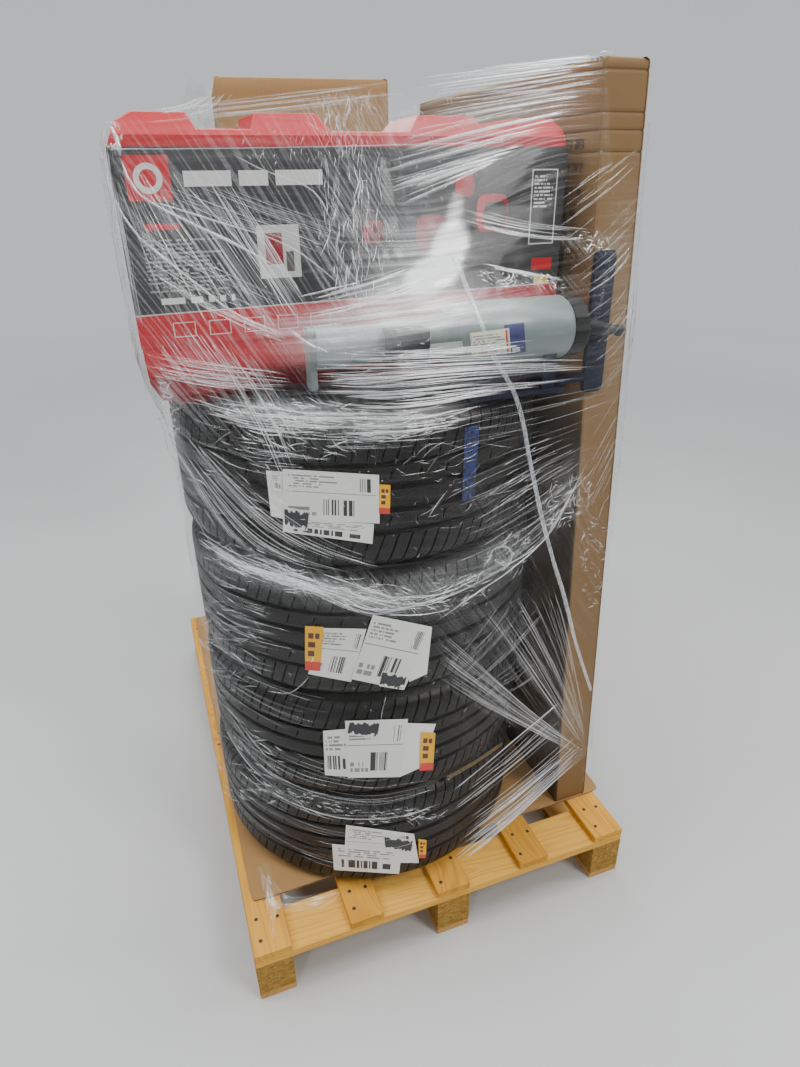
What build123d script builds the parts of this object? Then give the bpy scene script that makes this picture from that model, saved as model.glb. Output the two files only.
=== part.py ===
from build123d import *
import math
import os

# Wrapped mixed load on a light wooden pallet.
# Millimetres. Origin: middle of the pallet's footprint on the floor, +Z up.
# X runs along the 800 side, left to right. Y runs along the 1200 side; the
# front, where the load is seen from, is -Y.

os.makedirs("parts", exist_ok=True)

# ---------------------------------------------------------------- dimensions
# pallet
PAL_X = 800.0
PAL_Y = 1200.0
BOARD_W = 70.0          # outer and middle deck boards, blocks, bottom boards
BOARD_W_IN = 66.0       # the two boards between them
DECK_T = 16.0
CROSS_T = 16.0
CROSS_W = 95.0
SKID_T = 14.0
BLOCK_Y = 95.0
PAL_H = 126.0
BLOCK_H = PAL_H - DECK_T - CROSS_T - SKID_T
CROSS_Z = SKID_T + BLOCK_H
DECK_Z = CROSS_Z + CROSS_T
CROSS_Y = [-PAL_Y / 2 + CROSS_W / 2, 0.0, PAL_Y / 2 - CROSS_W / 2]
ROW_X = [-PAL_X / 2 + BOARD_W / 2, 0.0, PAL_X / 2 - BOARD_W / 2]
DECK_GAP = (PAL_X - 3 * BOARD_W - 2 * BOARD_W_IN) / 4
DECK_X = [
    ROW_X[0],
    -BOARD_W / 2 - DECK_GAP - BOARD_W_IN / 2,
    0.0,
    BOARD_W / 2 + DECK_GAP + BOARD_W_IN / 2,
    ROW_X[2],
]
DECK_WIDTHS = [BOARD_W, BOARD_W_IN, BOARD_W, BOARD_W_IN, BOARD_W]

# corrugated layer sheet on the deck
SHEET_T = 5.0
SHEET_X0, SHEET_X1 = -385.0, 415.0
SHEET_Y0, SHEET_Y1 = -490.0, 590.0
LOAD_Z = PAL_H + SHEET_T

# tyres lying flat, wide and low in section
TYRE_R = 323.5
BEAD_R = 241.3
TYRE_Z = [LOAD_Z, 368.0, 602.0, 850.0, 1099.0]
TYRE_C = [(-62.0, -232.0), (-56.0, -235.0), (-54.0, -239.0), (-56.0, -236.0)]

# paper labels on the treads: start angle, end angle (degrees), z low, z high
LABEL_GAP = 0.3
LABEL_T = 0.6
LABELS = [
    (-116.0, -91.5, 176.0, 316.0),
    (-119.0, -87.5, 428.0, 540.0),
    (-121.5, -88.0, 652.0, 762.0),
    (-126.5, -99.0, 908.0, 1022.0),
]

# moulded tool case and its printed card sleeve
CASE_X0, CASE_X1 = -406.0, 238.0
CASE_Y0, CASE_Y1 = -413.0, -267.0
CASE_Z0 = TYRE_Z[4]
CASE_TOP = 1472.0
CASE_DIP = 1453.0
SLEEVE_T = 1.6
SLEEVE_GAP = 0.2
SLEEVE_Z0, SLEEVE_Z1 = 1190.0, 1433.0

# cylindrical machine lying in front of the case
AXIS_Y, AXIS_Z = -505.0, 1190.0
BODY_R, BODY_X0, BODY_X1 = 46.0, 5.0, 195.0
NECK_R, NECK_X0 = 30.0, -190.0
COLLAR_R, COLLAR_X1 = 44.0, 222.0
SPOUT_R0, SPOUT_R1, SPOUT_L, SPOUT_TILT = 19.0, 6.5, 76.0, 10.0
FOOT_X0, FOOT_X1, FOOT_X2 = 30.0, 262.0, 190.0
FOOT_Y0, FOOT_Y1 = -540.0, -470.0
PLATE_T = 8.0
BAR_W, BAR_T = 36.0, 9.0
BAR_Y0 = -484.0
BAR_Z0, BAR_Z1 = 1075.0, 1293.0

# tall narrow carton on the right, leaning a little to the left
TALL_X0, TALL_X1 = 299.0, 377.0
TALL_Y0, TALL_Y1 = -490.0, 205.0
TALL_TOP = 1542.0
TALL_LEAN_X, TALL_LEAN_Y = -41.0, 28.0

# square carton at the back
BACK_C = (17.0, 388.0)
BACK_X, BACK_Y = 360.0, 330.0
BACK_TURN = -6.0
BACK_TOP = 1584.0

# stretch film round the load
FILM_SIDES = 20
FILM_CLEAR = 4.0
FILM_T = 2.0
FILM_Z0, FILM_Z1 = 150.0, 1530.0


# -------------------------------------------------------------------- pallet
for i, (bx, bw) in enumerate(zip(DECK_X, DECK_WIDTHS), start=1):
    with BuildPart() as deck_board:
        with BuildSketch(Plane.XY.offset(DECK_Z)):
            with Locations((bx, 0)):
                Rectangle(bw, PAL_Y)
        extrude(amount=DECK_T)
    deck_board.part.label = f"deck_board_{i}"
    export_step(deck_board.part, f"parts/deck_board_{i}.step")

for side, cy in zip(("front", "middle", "back"), CROSS_Y):
    with BuildPart() as cross_board:
        with BuildSketch(Plane.XY.offset(CROSS_Z)):
            with Locations((0, cy)):
                Rectangle(PAL_X, CROSS_W)
        extrude(amount=CROSS_T)
    cross_board.part.label = f"cross_board_{side}"
    export_step(cross_board.part, f"parts/cross_board_{side}.step")

    for lane, rx in zip(("left", "centre", "right"), ROW_X):
        with BuildPart() as block:
            with BuildSketch(Plane.XY.offset(SKID_T)):
                with Locations((rx, cy)):
                    Rectangle(BOARD_W, BLOCK_Y)
            extrude(amount=BLOCK_H)
        block.part.label = f"block_{side}_{lane}"
        export_step(block.part, f"parts/block_{side}_{lane}.step")

for lane, rx in zip(("left", "centre", "right"), ROW_X):
    with BuildPart() as bottom_board:
        with BuildSketch(Plane.XY):
            with Locations((rx, 0)):
                Rectangle(BOARD_W, PAL_Y)
        extrude(amount=SKID_T)
    bottom_board.part.label = f"bottom_board_{lane}"
    export_step(bottom_board.part, f"parts/bottom_board_{lane}.step")

with BuildPart() as layer_sheet:
    with BuildSketch(Plane.XY.offset(PAL_H)):
        with Locations(((SHEET_X0 + SHEET_X1) / 2, (SHEET_Y0 + SHEET_Y1) / 2)):
            Rectangle(SHEET_X1 - SHEET_X0, SHEET_Y1 - SHEET_Y0)
    extrude(amount=SHEET_T)
layer_sheet.part.label = "layer_sheet"
export_step(layer_sheet.part, "parts/layer_sheet.step")

# --------------------------------------------------------------------- tyres
# One turned carcass each: tread band, two sidewalls and two beads round an
# open bore. The section is drawn in the XZ plane about the tyre's own axis.
for i in range(4):
    z0, z1 = TYRE_Z[i], TYRE_Z[i + 1]
    cx, cy = TYRE_C[i]
    zm, h = (z0 + z1) / 2, (z1 - z0) / 2
    with BuildPart() as tyre:
        with BuildSketch(Plane(origin=(cx, cy, zm), x_dir=(1, 0, 0), z_dir=(0, -1, 0))):
            with BuildLine():
                outer = [
                    (BEAD_R, -(h - 16)),
                    (BEAD_R + 8, -(h - 5)),
                    (BEAD_R + 20, -h),
                    (BEAD_R + 44, -h),
                    (TYRE_R - 22, -(h - 6)),
                    (TYRE_R - 8, -(h - 14)),
                    (TYRE_R - 2, -(h - 24)),
                    (TYRE_R, -(h - 40)),
                    (TYRE_R, h - 40),
                    (TYRE_R - 2, h - 24),
                    (TYRE_R - 8, h - 14),
                    (TYRE_R - 22, h - 6),
                    (BEAD_R + 44, h),
                    (BEAD_R + 20, h),
                    (BEAD_R + 8, h - 5),
                    (BEAD_R, h - 16),
                ]
                inner = [
                    (BEAD_R, h - 32),
                    (BEAD_R + 14, h - 22),
                    (BEAD_R + 24, h - 11),
                    (BEAD_R + 44, h - 10),
                    (TYRE_R - 26, h - 18),
                    (TYRE_R - 15, h - 32),
                    (TYRE_R - 13, h - 50),
                    (TYRE_R - 13, -(h - 50)),
                    (TYRE_R - 15, -(h - 32)),
                    (TYRE_R - 26, -(h - 18)),
                    (BEAD_R + 44, -(h - 10)),
                    (BEAD_R + 24, -(h - 11)),
                    (BEAD_R + 14, -(h - 22)),
                    (BEAD_R, -(h - 32)),
                ]
                Polyline(*outer, *inner, close=True)
            make_face()
        revolve(axis=Axis((cx, cy, 0), (0, 0, 1)))
    tyre.part.label = f"tyre_{i + 1}"
    export_step(tyre.part, f"parts/tyre_{i + 1}.step")

    a0, a1, lz0, lz1 = LABELS[i]
    with BuildPart() as tyre_label:
        with BuildSketch(Plane.XY.offset(lz0)):
            with BuildLine():
                ro, ri = TYRE_R + LABEL_GAP + LABEL_T, TYRE_R + LABEL_GAP
                arc_out = CenterArc((cx, cy), ro, a0, a1 - a0)
                arc_in = CenterArc((cx, cy), ri, a0, a1 - a0)
                Line(arc_out @ 0, arc_in @ 0)
                Line(arc_out @ 1, arc_in @ 1)
            make_face()
        extrude(amount=lz1 - lz0)
    tyre_label.part.label = f"tyre_label_{i + 1}"
    export_step(tyre_label.part, f"parts/tyre_label_{i + 1}.step")

# ----------------------------------------------------------------- tool case
# Front outline with raised pads and dips along the top edge, crossed with the
# end outline, whose bottom edges are bevelled.
with BuildPart() as tool_case:
    with BuildSketch(Plane(origin=(0, CASE_Y0, 0), x_dir=(1, 0, 0), z_dir=(0, -1, 0))):
        with BuildLine():
            Polyline(
                (CASE_X0 + 44, CASE_Z0),
                (CASE_X1 - 44, CASE_Z0),
                (CASE_X1 - 15, CASE_Z0 + 14),
                (CASE_X1 - 2, CASE_Z0 + 42),
                (CASE_X1, CASE_Z0 + 70),
                (CASE_X1, CASE_DIP - 22),
                (CASE_X1 - 6, CASE_DIP + 4),
                (CASE_X1 - 22, CASE_TOP - 2),
                (157, CASE_TOP - 2),
                (150, CASE_DIP),
                (104, CASE_DIP),
                (90, CASE_TOP),
                (6, CASE_TOP),
                (-12, CASE_DIP - 2),
                (-122, CASE_DIP - 2),
                (-142, CASE_TOP),
                (-222, CASE_TOP),
                (-230, CASE_DIP),
                (-298, CASE_DIP),
                (-308, CASE_TOP),
                (-372, CASE_TOP),
                (CASE_X0 + 10, CASE_TOP - 12),
                (CASE_X0, CASE_DIP - 18),
                (CASE_X0, CASE_Z0 + 70),
                (CASE_X0 + 2, CASE_Z0 + 42),
                (CASE_X0 + 15, CASE_Z0 + 14),
                close=True,
            )
        make_face()
    extrude(amount=-(CASE_Y1 - CASE_Y0))
    with BuildSketch(Plane(origin=(CASE_X0 - 10, 0, 0), x_dir=(0, 1, 0), z_dir=(1, 0, 0))):
        with BuildLine():
            Polyline(
                (CASE_Y0 + 34, CASE_Z0),
                (CASE_Y1 - 34, CASE_Z0),
                (CASE_Y1 - 8, CASE_Z0 + 20),
                (CASE_Y1, CASE_Z0 + 48),
                (CASE_Y1, CASE_TOP - 26),
                (CASE_Y1 - 14, CASE_TOP),
                (CASE_Y0 + 14, CASE_TOP),
                (CASE_Y0, CASE_TOP - 26),
                (CASE_Y0, CASE_Z0 + 48),
                (CASE_Y0 + 8, CASE_Z0 + 20),
                close=True,
            )
        make_face()
    extrude(amount=CASE_X1 - CASE_X0 + 20, mode=Mode.INTERSECT)
tool_case.part.label = "tool_case"
export_step(tool_case.part, "parts/tool_case.step")

with BuildPart() as case_sleeve:
    with BuildSketch(Plane.XY.offset(SLEEVE_Z0)):
        sx = CASE_X1 - CASE_X0 + 2 * SLEEVE_GAP
        sy = CASE_Y1 - CASE_Y0 + 2 * SLEEVE_GAP
        with Locations(((CASE_X0 + CASE_X1) / 2, (CASE_Y0 + CASE_Y1) / 2)):
            Rectangle(sx + 2 * SLEEVE_T, sy + 2 * SLEEVE_T)
            Rectangle(sx, sy, mode=Mode.SUBTRACT)
    extrude(amount=SLEEVE_Z1 - SLEEVE_Z0)
case_sleeve.part.label = "case_sleeve"
export_step(case_sleeve.part, "parts/case_sleeve.step")

# ------------------------------------------------------- cylindrical machine
with BuildPart() as motor_body:
    with BuildSketch(Plane(origin=(0, AXIS_Y, AXIS_Z), x_dir=(1, 0, 0), z_dir=(0, -1, 0))):
        with BuildLine():
            Polyline(
                (NECK_X0, 0),
                (NECK_X0, NECK_R),
                (-150, NECK_R),
                (-144, NECK_R - 4),
                (-30, NECK_R - 4),
                (-8, NECK_R),
                (BODY_X0, BODY_R - 6),
                (BODY_X0 + 8, BODY_R),
                (BODY_X1 - 6, BODY_R),
                (BODY_X1, BODY_R - 4),
                (BODY_X1, 0),
                close=True,
            )
        make_face()
    revolve(axis=Axis((0, AXIS_Y, AXIS_Z), (1, 0, 0)))
motor_body.part.label = "motor_body"
export_step(motor_body.part, "parts/motor_body.step")

with BuildPart() as motor_collar:
    with BuildSketch(Plane(origin=(BODY_X1, AXIS_Y, AXIS_Z), x_dir=(0, 1, 0), z_dir=(1, 0, 0))):
        RegularPolygon(COLLAR_R, 14)
    extrude(amount=(COLLAR_X1 - BODY_X1))
    chamfer(motor_collar.faces().sort_by(Axis.X)[-1].edges(), 3)
motor_collar.part.label = "motor_collar"
export_step(motor_collar.part, "parts/motor_collar.step")

# The spout tapers to a ball end and points a little down.
tilt = math.radians(SPOUT_TILT)
spout_dir = (math.cos(tilt), 0, -math.sin(tilt))
with BuildPart() as motor_spout:
    with BuildSketch(
        Plane(origin=(COLLAR_X1, AXIS_Y, AXIS_Z), x_dir=spout_dir, z_dir=(0, -1, 0))
    ):
        with BuildLine():
            Polyline(
                (-8, 0),
                (-8, SPOUT_R0 - 1),
                (0, SPOUT_R0),
                (12, SPOUT_R0 - 1),
                (18, SPOUT_R0 - 5),
                (SPOUT_L, SPOUT_R1),
                (SPOUT_L + 2, SPOUT_R1 + 2),
                (SPOUT_L + 9, SPOUT_R1 + 2),
                (SPOUT_L + 12, SPOUT_R1 - 2),
                (SPOUT_L + 12, 0),
                close=True,
            )
        make_face()
    revolve(axis=Axis((COLLAR_X1, AXIS_Y, AXIS_Z), spout_dir))
    with BuildSketch(Plane(origin=(COLLAR_X1, AXIS_Y, AXIS_Z), x_dir=(0, 1, 0), z_dir=(1, 0, 0))):
        Rectangle(90, 90)
    extrude(amount=SPOUT_L + 30, mode=Mode.INTERSECT)
motor_spout.part.label = "motor_spout"
export_step(motor_spout.part, "parts/motor_spout.step")

with BuildPart() as terminal_box:
    with BuildSketch(Plane.XY.offset(AXIS_Z - 22)):
        with Locations((-68, AXIS_Y - 29)):
            RectangleRounded(56, 50, 4)
    extrude(amount=44)
    with BuildSketch(Plane(origin=(-100, AXIS_Y, AXIS_Z), x_dir=(0, 1, 0), z_dir=(1, 0, 0))):
        Circle(NECK_R - 4)
    extrude(amount=80, mode=Mode.SUBTRACT)
terminal_box.part.label = "terminal_box"
export_step(terminal_box.part, "parts/terminal_box.step")

with BuildPart() as motor_lever:
    with BuildSketch(Plane(origin=(NECK_X0, AXIS_Y, AXIS_Z), x_dir=(0, 1, 0), z_dir=(-1, 0, 0))):
        with Locations((0, 14)):
            RectangleRounded(28, 84, 6)
    extrude(amount=9)
motor_lever.part.label = "motor_lever"
export_step(motor_lever.part, "parts/motor_lever.step")

# Navy bracket: a flat foot with two saddle plates under the machine and an
# upright flat bar with rounded ends at its right end.
with BuildPart() as bracket:
    with BuildSketch(Plane.XY.offset(TYRE_Z[4])):
        with Locations(((FOOT_X0 + FOOT_X2) / 2, (FOOT_Y0 + FOOT_Y1) / 2)):
            Rectangle(FOOT_X2 - FOOT_X0, FOOT_Y1 - FOOT_Y0)
        with Locations(((FOOT_X2 + FOOT_X1) / 2, BAR_Y0 + BAR_T / 2 - 6)):
            Rectangle(FOOT_X1 - FOOT_X2, 28)
    extrude(amount=PLATE_T)
    for sx0 in (44.0, 150.0):
        with BuildSketch(Plane(origin=(sx0, AXIS_Y, 0), x_dir=(0, 1, 0), z_dir=(1, 0, 0))):
            with Locations((0, (TYRE_Z[4] + AXIS_Z) / 2)):
                Rectangle(66, AXIS_Z - TYRE_Z[4])
            with Locations((0, AXIS_Z)):
                Circle(BODY_R, mode=Mode.SUBTRACT)
                Rectangle(66, 52, mode=Mode.SUBTRACT)
        extrude(amount=22)
    with BuildSketch(Plane(origin=(0, BAR_Y0, 0), x_dir=(1, 0, 0), z_dir=(0, -1, 0))):
        with Locations((FOOT_X1 + BAR_W / 2, (BAR_Z0 + BAR_Z1) / 2)):
            RectangleRounded(BAR_W, BAR_Z1 - BAR_Z0, 8)
    extrude(amount=-BAR_T)
bracket.part.label = "bracket"
export_step(bracket.part, "parts/bracket.step")

# ------------------------------------------------------------------- cartons
with BuildPart() as tall_carton:
    tcx, tcy = (TALL_X0 + TALL_X1) / 2, (TALL_Y0 + TALL_Y1) / 2
    with BuildSketch(Plane.XY.offset(LOAD_Z)):
        with Locations((tcx, tcy)):
            Rectangle(TALL_X1 - TALL_X0, TALL_Y1 - TALL_Y0)
    with BuildSketch(Plane.XY.offset(TALL_TOP)):
        with Locations((tcx + TALL_LEAN_X, tcy + TALL_LEAN_Y)):
            Rectangle(TALL_X1 - TALL_X0, TALL_Y1 - TALL_Y0)
    loft(ruled=True)
tall_carton.part.label = "tall_carton"
export_step(tall_carton.part, "parts/tall_carton.step")

with BuildPart() as back_carton:
    with BuildSketch(Plane.XY.offset(LOAD_Z)):
        with Locations(Location((BACK_C[0], BACK_C[1], 0), (0, 0, BACK_TURN))):
            Rectangle(BACK_X, BACK_Y)
    extrude(amount=BACK_TOP - LOAD_Z)
back_carton.part.label = "back_carton"
export_step(back_carton.part, "parts/back_carton.step")


# ---------------------------------------------------------------- film wrap
# The film is stretched round everything, so each level of it is the tight
# outline of what stands at that height. The outline is given by how far the
# load reaches in each of FILM_SIDES directions.
def circle_points(cx, cy, r, n=48):
    return [
        (cx + r * math.cos(2 * math.pi * k / n), cy + r * math.sin(2 * math.pi * k / n))
        for k in range(n)
    ]


def tall_points(z):
    f = (z - LOAD_Z) / (TALL_TOP - LOAD_Z)
    return [
        (x + TALL_LEAN_X * f, y + TALL_LEAN_Y * f)
        for x in (TALL_X0, TALL_X1)
        for y in (TALL_Y0, TALL_Y1)
    ]


def back_points():
    c, s = math.cos(math.radians(BACK_TURN)), math.sin(math.radians(BACK_TURN))
    return [
        (BACK_C[0] + u * c - v * s, BACK_C[1] + u * s + v * c)
        for u in (-BACK_X / 2, BACK_X / 2)
        for v in (-BACK_Y / 2, BACK_Y / 2)
    ]


def tyre_points(i):
    return circle_points(TYRE_C[i][0], TYRE_C[i][1], TYRE_R + 1.0)


def machine_points():
    return [(NECK_X0 - 9, -535), (-98, -561), (BODY_X1, -553), (312, -516), (FOOT_X1 + BAR_W, -500)]


def case_points():
    e = SLEEVE_T + SLEEVE_GAP
    return [(x, y) for x in (CASE_X0 - e, CASE_X1 + e) for y in (CASE_Y0 - e, CASE_Y1 + e)]


def reach(points, k):
    a = 2 * math.pi * k / FILM_SIDES
    return max(x * math.cos(a) + y * math.sin(a) for x, y in points)


def outline(reaches, extra):
    pts = []
    for k in range(FILM_SIDES):
        a = 2 * math.pi * k / FILM_SIDES
        b = 2 * math.pi * (k + 1) / FILM_SIDES
        ha, hb = reaches[k] + extra, reaches[(k + 1) % FILM_SIDES] + extra
        det = math.cos(a) * math.sin(b) - math.sin(a) * math.cos(b)
        pts.append(((ha * math.sin(b) - hb * math.sin(a)) / det, (hb * math.cos(a) - ha * math.cos(b)) / det))
    return pts


levels = [
    (FILM_Z0, tyre_points(0) + tall_points(LOAD_Z) + back_points()),
    (610.0, tyre_points(1) + tyre_points(2) + tall_points(FILM_Z0) + back_points()),
    (1060.0, tyre_points(2) + tyre_points(3) + case_points() + tall_points(600.0) + back_points() + machine_points()),
    (1310.0, case_points() + tall_points(1000.0) + back_points() + machine_points()),
    (FILM_Z1, case_points() + tall_points(1300.0) + back_points()),
]
level_reach = [[reach(points, k) for k in range(FILM_SIDES)] for _, points in levels]

with BuildPart() as stretch_film:
    for (za, _), (zb, _), ra, rb in zip(levels, levels[1:], level_reach, level_reach[1:]):
        with BuildSketch(Plane.XY.offset(za)):
            Polygon(*outline(ra, FILM_CLEAR + FILM_T), align=None)
        with BuildSketch(Plane.XY.offset(zb)):
            Polygon(*outline(rb, FILM_CLEAR + FILM_T), align=None)
        loft(ruled=True)
    for (za, _), (zb, _), ra, rb in zip(levels, levels[1:], level_reach, level_reach[1:]):
        with BuildSketch(Plane.XY.offset(za)):
            Polygon(*outline(ra, FILM_CLEAR), align=None)
        with BuildSketch(Plane.XY.offset(zb)):
            Polygon(*outline(rb, FILM_CLEAR), align=None)
        loft(ruled=True, mode=Mode.SUBTRACT)
stretch_film.part.label = "stretch_film"
export_step(stretch_film.part, "parts/stretch_film.step")
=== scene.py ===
import math

import bpy
import bmesh
import numpy as np
from mathutils import Matrix, Vector


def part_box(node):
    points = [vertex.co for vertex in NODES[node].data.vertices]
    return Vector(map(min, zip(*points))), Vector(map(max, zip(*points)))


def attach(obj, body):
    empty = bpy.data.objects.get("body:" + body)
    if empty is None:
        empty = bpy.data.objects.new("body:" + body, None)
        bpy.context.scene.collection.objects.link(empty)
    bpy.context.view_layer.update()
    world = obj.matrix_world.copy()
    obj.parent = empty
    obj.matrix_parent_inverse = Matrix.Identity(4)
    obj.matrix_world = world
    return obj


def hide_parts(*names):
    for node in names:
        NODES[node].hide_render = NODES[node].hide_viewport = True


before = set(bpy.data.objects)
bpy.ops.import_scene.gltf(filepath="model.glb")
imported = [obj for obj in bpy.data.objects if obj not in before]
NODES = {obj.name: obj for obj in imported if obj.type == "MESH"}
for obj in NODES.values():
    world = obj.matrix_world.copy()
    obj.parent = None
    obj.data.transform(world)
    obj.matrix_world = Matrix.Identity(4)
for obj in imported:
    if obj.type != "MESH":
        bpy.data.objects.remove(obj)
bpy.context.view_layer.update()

RNG = np.random.default_rng(7)

# ------------------------------------------------------------------ camera
# One pinhole camera, 800 by 1067. The same numbers turn a point of the
# picture into a ray, so that a crease seen there lands on the wrap itself.
F_PX = 702.4518574541407
EYE = np.array([-0.4123400341960097, -1.4474229035248078, 1.3902648564805622])
YAW, PITCH, ROLL = 0.3489435491445354, 0.46459221049509347, -0.015475491704977652
FWD = np.array([math.sin(YAW) * math.cos(PITCH), math.cos(YAW) * math.cos(PITCH), -math.sin(PITCH)])
RT = np.array([math.cos(YAW), -math.sin(YAW), 0.0])
UPV = np.cross(RT, FWD)
R2 = math.cos(ROLL) * RT + math.sin(ROLL) * UPV
U2 = -math.sin(ROLL) * RT + math.cos(ROLL) * UPV

cam_data = bpy.data.cameras.new("camera")
cam_data.sensor_width = 36.0
cam_data.lens = F_PX / 1067.0 * 36.0
cam_data.clip_start = 0.02
cam_data.clip_end = 120.0
cam = bpy.data.objects.new("camera", cam_data)
bpy.context.scene.collection.objects.link(cam)
cam.matrix_world = Matrix(
    (
        (R2[0], U2[0], -FWD[0], EYE[0]),
        (R2[1], U2[1], -FWD[1], EYE[1]),
        (R2[2], U2[2], -FWD[2], EYE[2]),
        (0, 0, 0, 1),
    )
)
bpy.context.scene.camera = cam


def rays(uv):
    """Unit directions through picture points (n, 2)."""
    uv = np.asarray(uv, float).reshape(-1, 2)
    d = (
        FWD[None, :]
        + ((uv[:, 0] - 400.0) / F_PX)[:, None] * R2[None, :]
        - ((uv[:, 1] - 533.5) / F_PX)[:, None] * U2[None, :]
    )
    return d / np.linalg.norm(d, axis=1)[:, None]


def pixel(p):
    """Picture points of world points (n, 3)."""
    d = np.asarray(p, float).reshape(-1, 3) - EYE
    w = d @ FWD
    return np.stack([400 + F_PX * (d @ R2) / w, 533.5 - F_PX * (d @ U2) / w], 1)


# ------------------------------------------------------------------ helpers
def smoothstep(a, b, x):
    t = np.clip((x - a) / (b - a), 0, 1)
    return t * t * (3 - 2 * t)


TABLES = {}


def value_noise(x, y, seed=0, px=0):
    """Smooth 2-D noise in 0..1; px makes it repeat in x after that many cells."""
    if seed not in TABLES:
        TABLES[seed] = np.random.default_rng(seed).random((256, 256))
    tab = TABLES[seed]
    xi, yi = np.floor(x).astype(int), np.floor(y).astype(int)
    fx, fy = x - xi, y - yi
    fx, fy = fx * fx * (3 - 2 * fx), fy * fy * (3 - 2 * fy)
    if px:
        x0, x1 = xi % px, (xi + 1) % px
    else:
        x0, x1 = xi % 256, (xi + 1) % 256
    y0, y1 = yi % 256, (yi + 1) % 256
    a = tab[x0 % 256, y0] * (1 - fx) + tab[x1 % 256, y0] * fx
    b = tab[x0 % 256, y1] * (1 - fx) + tab[x1 % 256, y1] * fx
    return a * (1 - fy) + b * fy


def fbm(x, y, seed=0, octaves=3):
    out, amp, tot = 0.0, 1.0, 0.0
    for k in range(octaves):
        out = out + amp * value_noise(x * 2**k, y * 2**k, seed + 31 * k)
        tot += amp
        amp *= 0.5
    return out / tot


def mesh_piece(name, verts, faces, mats=(), smooth=True, uv=None, face_mat=None, extra=None):
    me = bpy.data.meshes.new(name)
    verts = np.asarray(verts, float)
    me.from_pydata([tuple(v) for v in verts], [], [tuple(int(i) for i in f) for f in faces])
    for m in mats:
        me.materials.append(m)
    if uv is not None:
        layer = me.uv_layers.new(name="map")
        idx = np.zeros(len(me.loops), np.int32)
        me.loops.foreach_get("vertex_index", idx)
        layer.data.foreach_set("uv", np.asarray(uv, np.float32)[idx].ravel())
    if extra:
        for key, val in extra.items():
            val = np.asarray(val, np.float32)
            if val.ndim == 1:
                a = me.attributes.new(key, "FLOAT", "POINT")
                a.data.foreach_set("value", val)
            else:
                a = me.attributes.new(key, "FLOAT_VECTOR", "POINT")
                a.data.foreach_set("vector", val.ravel())
    if face_mat is not None:
        me.polygons.foreach_set("material_index", np.asarray(face_mat, np.int32))
    me.polygons.foreach_set("use_smooth", [smooth] * len(me.polygons))
    me.update()
    ob = bpy.data.objects.new(name, me)
    bpy.context.scene.collection.objects.link(ob)
    return ob


def grid_faces(nu, nv, wrap_u=False, base=0, flip=False):
    """Quads of a grid stored row by row: index = j * nu + i."""
    i = np.arange(nu if wrap_u else nu - 1)
    j = np.arange(nv - 1)
    jj, ii = np.meshgrid(j, i, indexing="ij")
    i2 = (ii + 1) % nu
    q = np.stack([jj * nu + ii, jj * nu + i2, (jj + 1) * nu + i2, (jj + 1) * nu + ii], -1).reshape(-1, 4) + base
    return q[:, ::-1] if flip else q


def settle(ob, replaces=()):
    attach(ob, "root")
    if replaces:
        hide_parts(*replaces)
    return ob


def auto_smooth(ob, angle=35.0):
    me = ob.data
    me.polygons.foreach_set("use_smooth", [True] * len(me.polygons))
    me.update()
    bm = bmesh.new()
    bm.from_mesh(me)
    lim = math.radians(angle)
    for e in bm.edges:
        e.smooth = len(e.link_faces) == 2 and e.calc_face_angle(0) < lim
    bm.to_mesh(me)
    bm.free()


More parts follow.
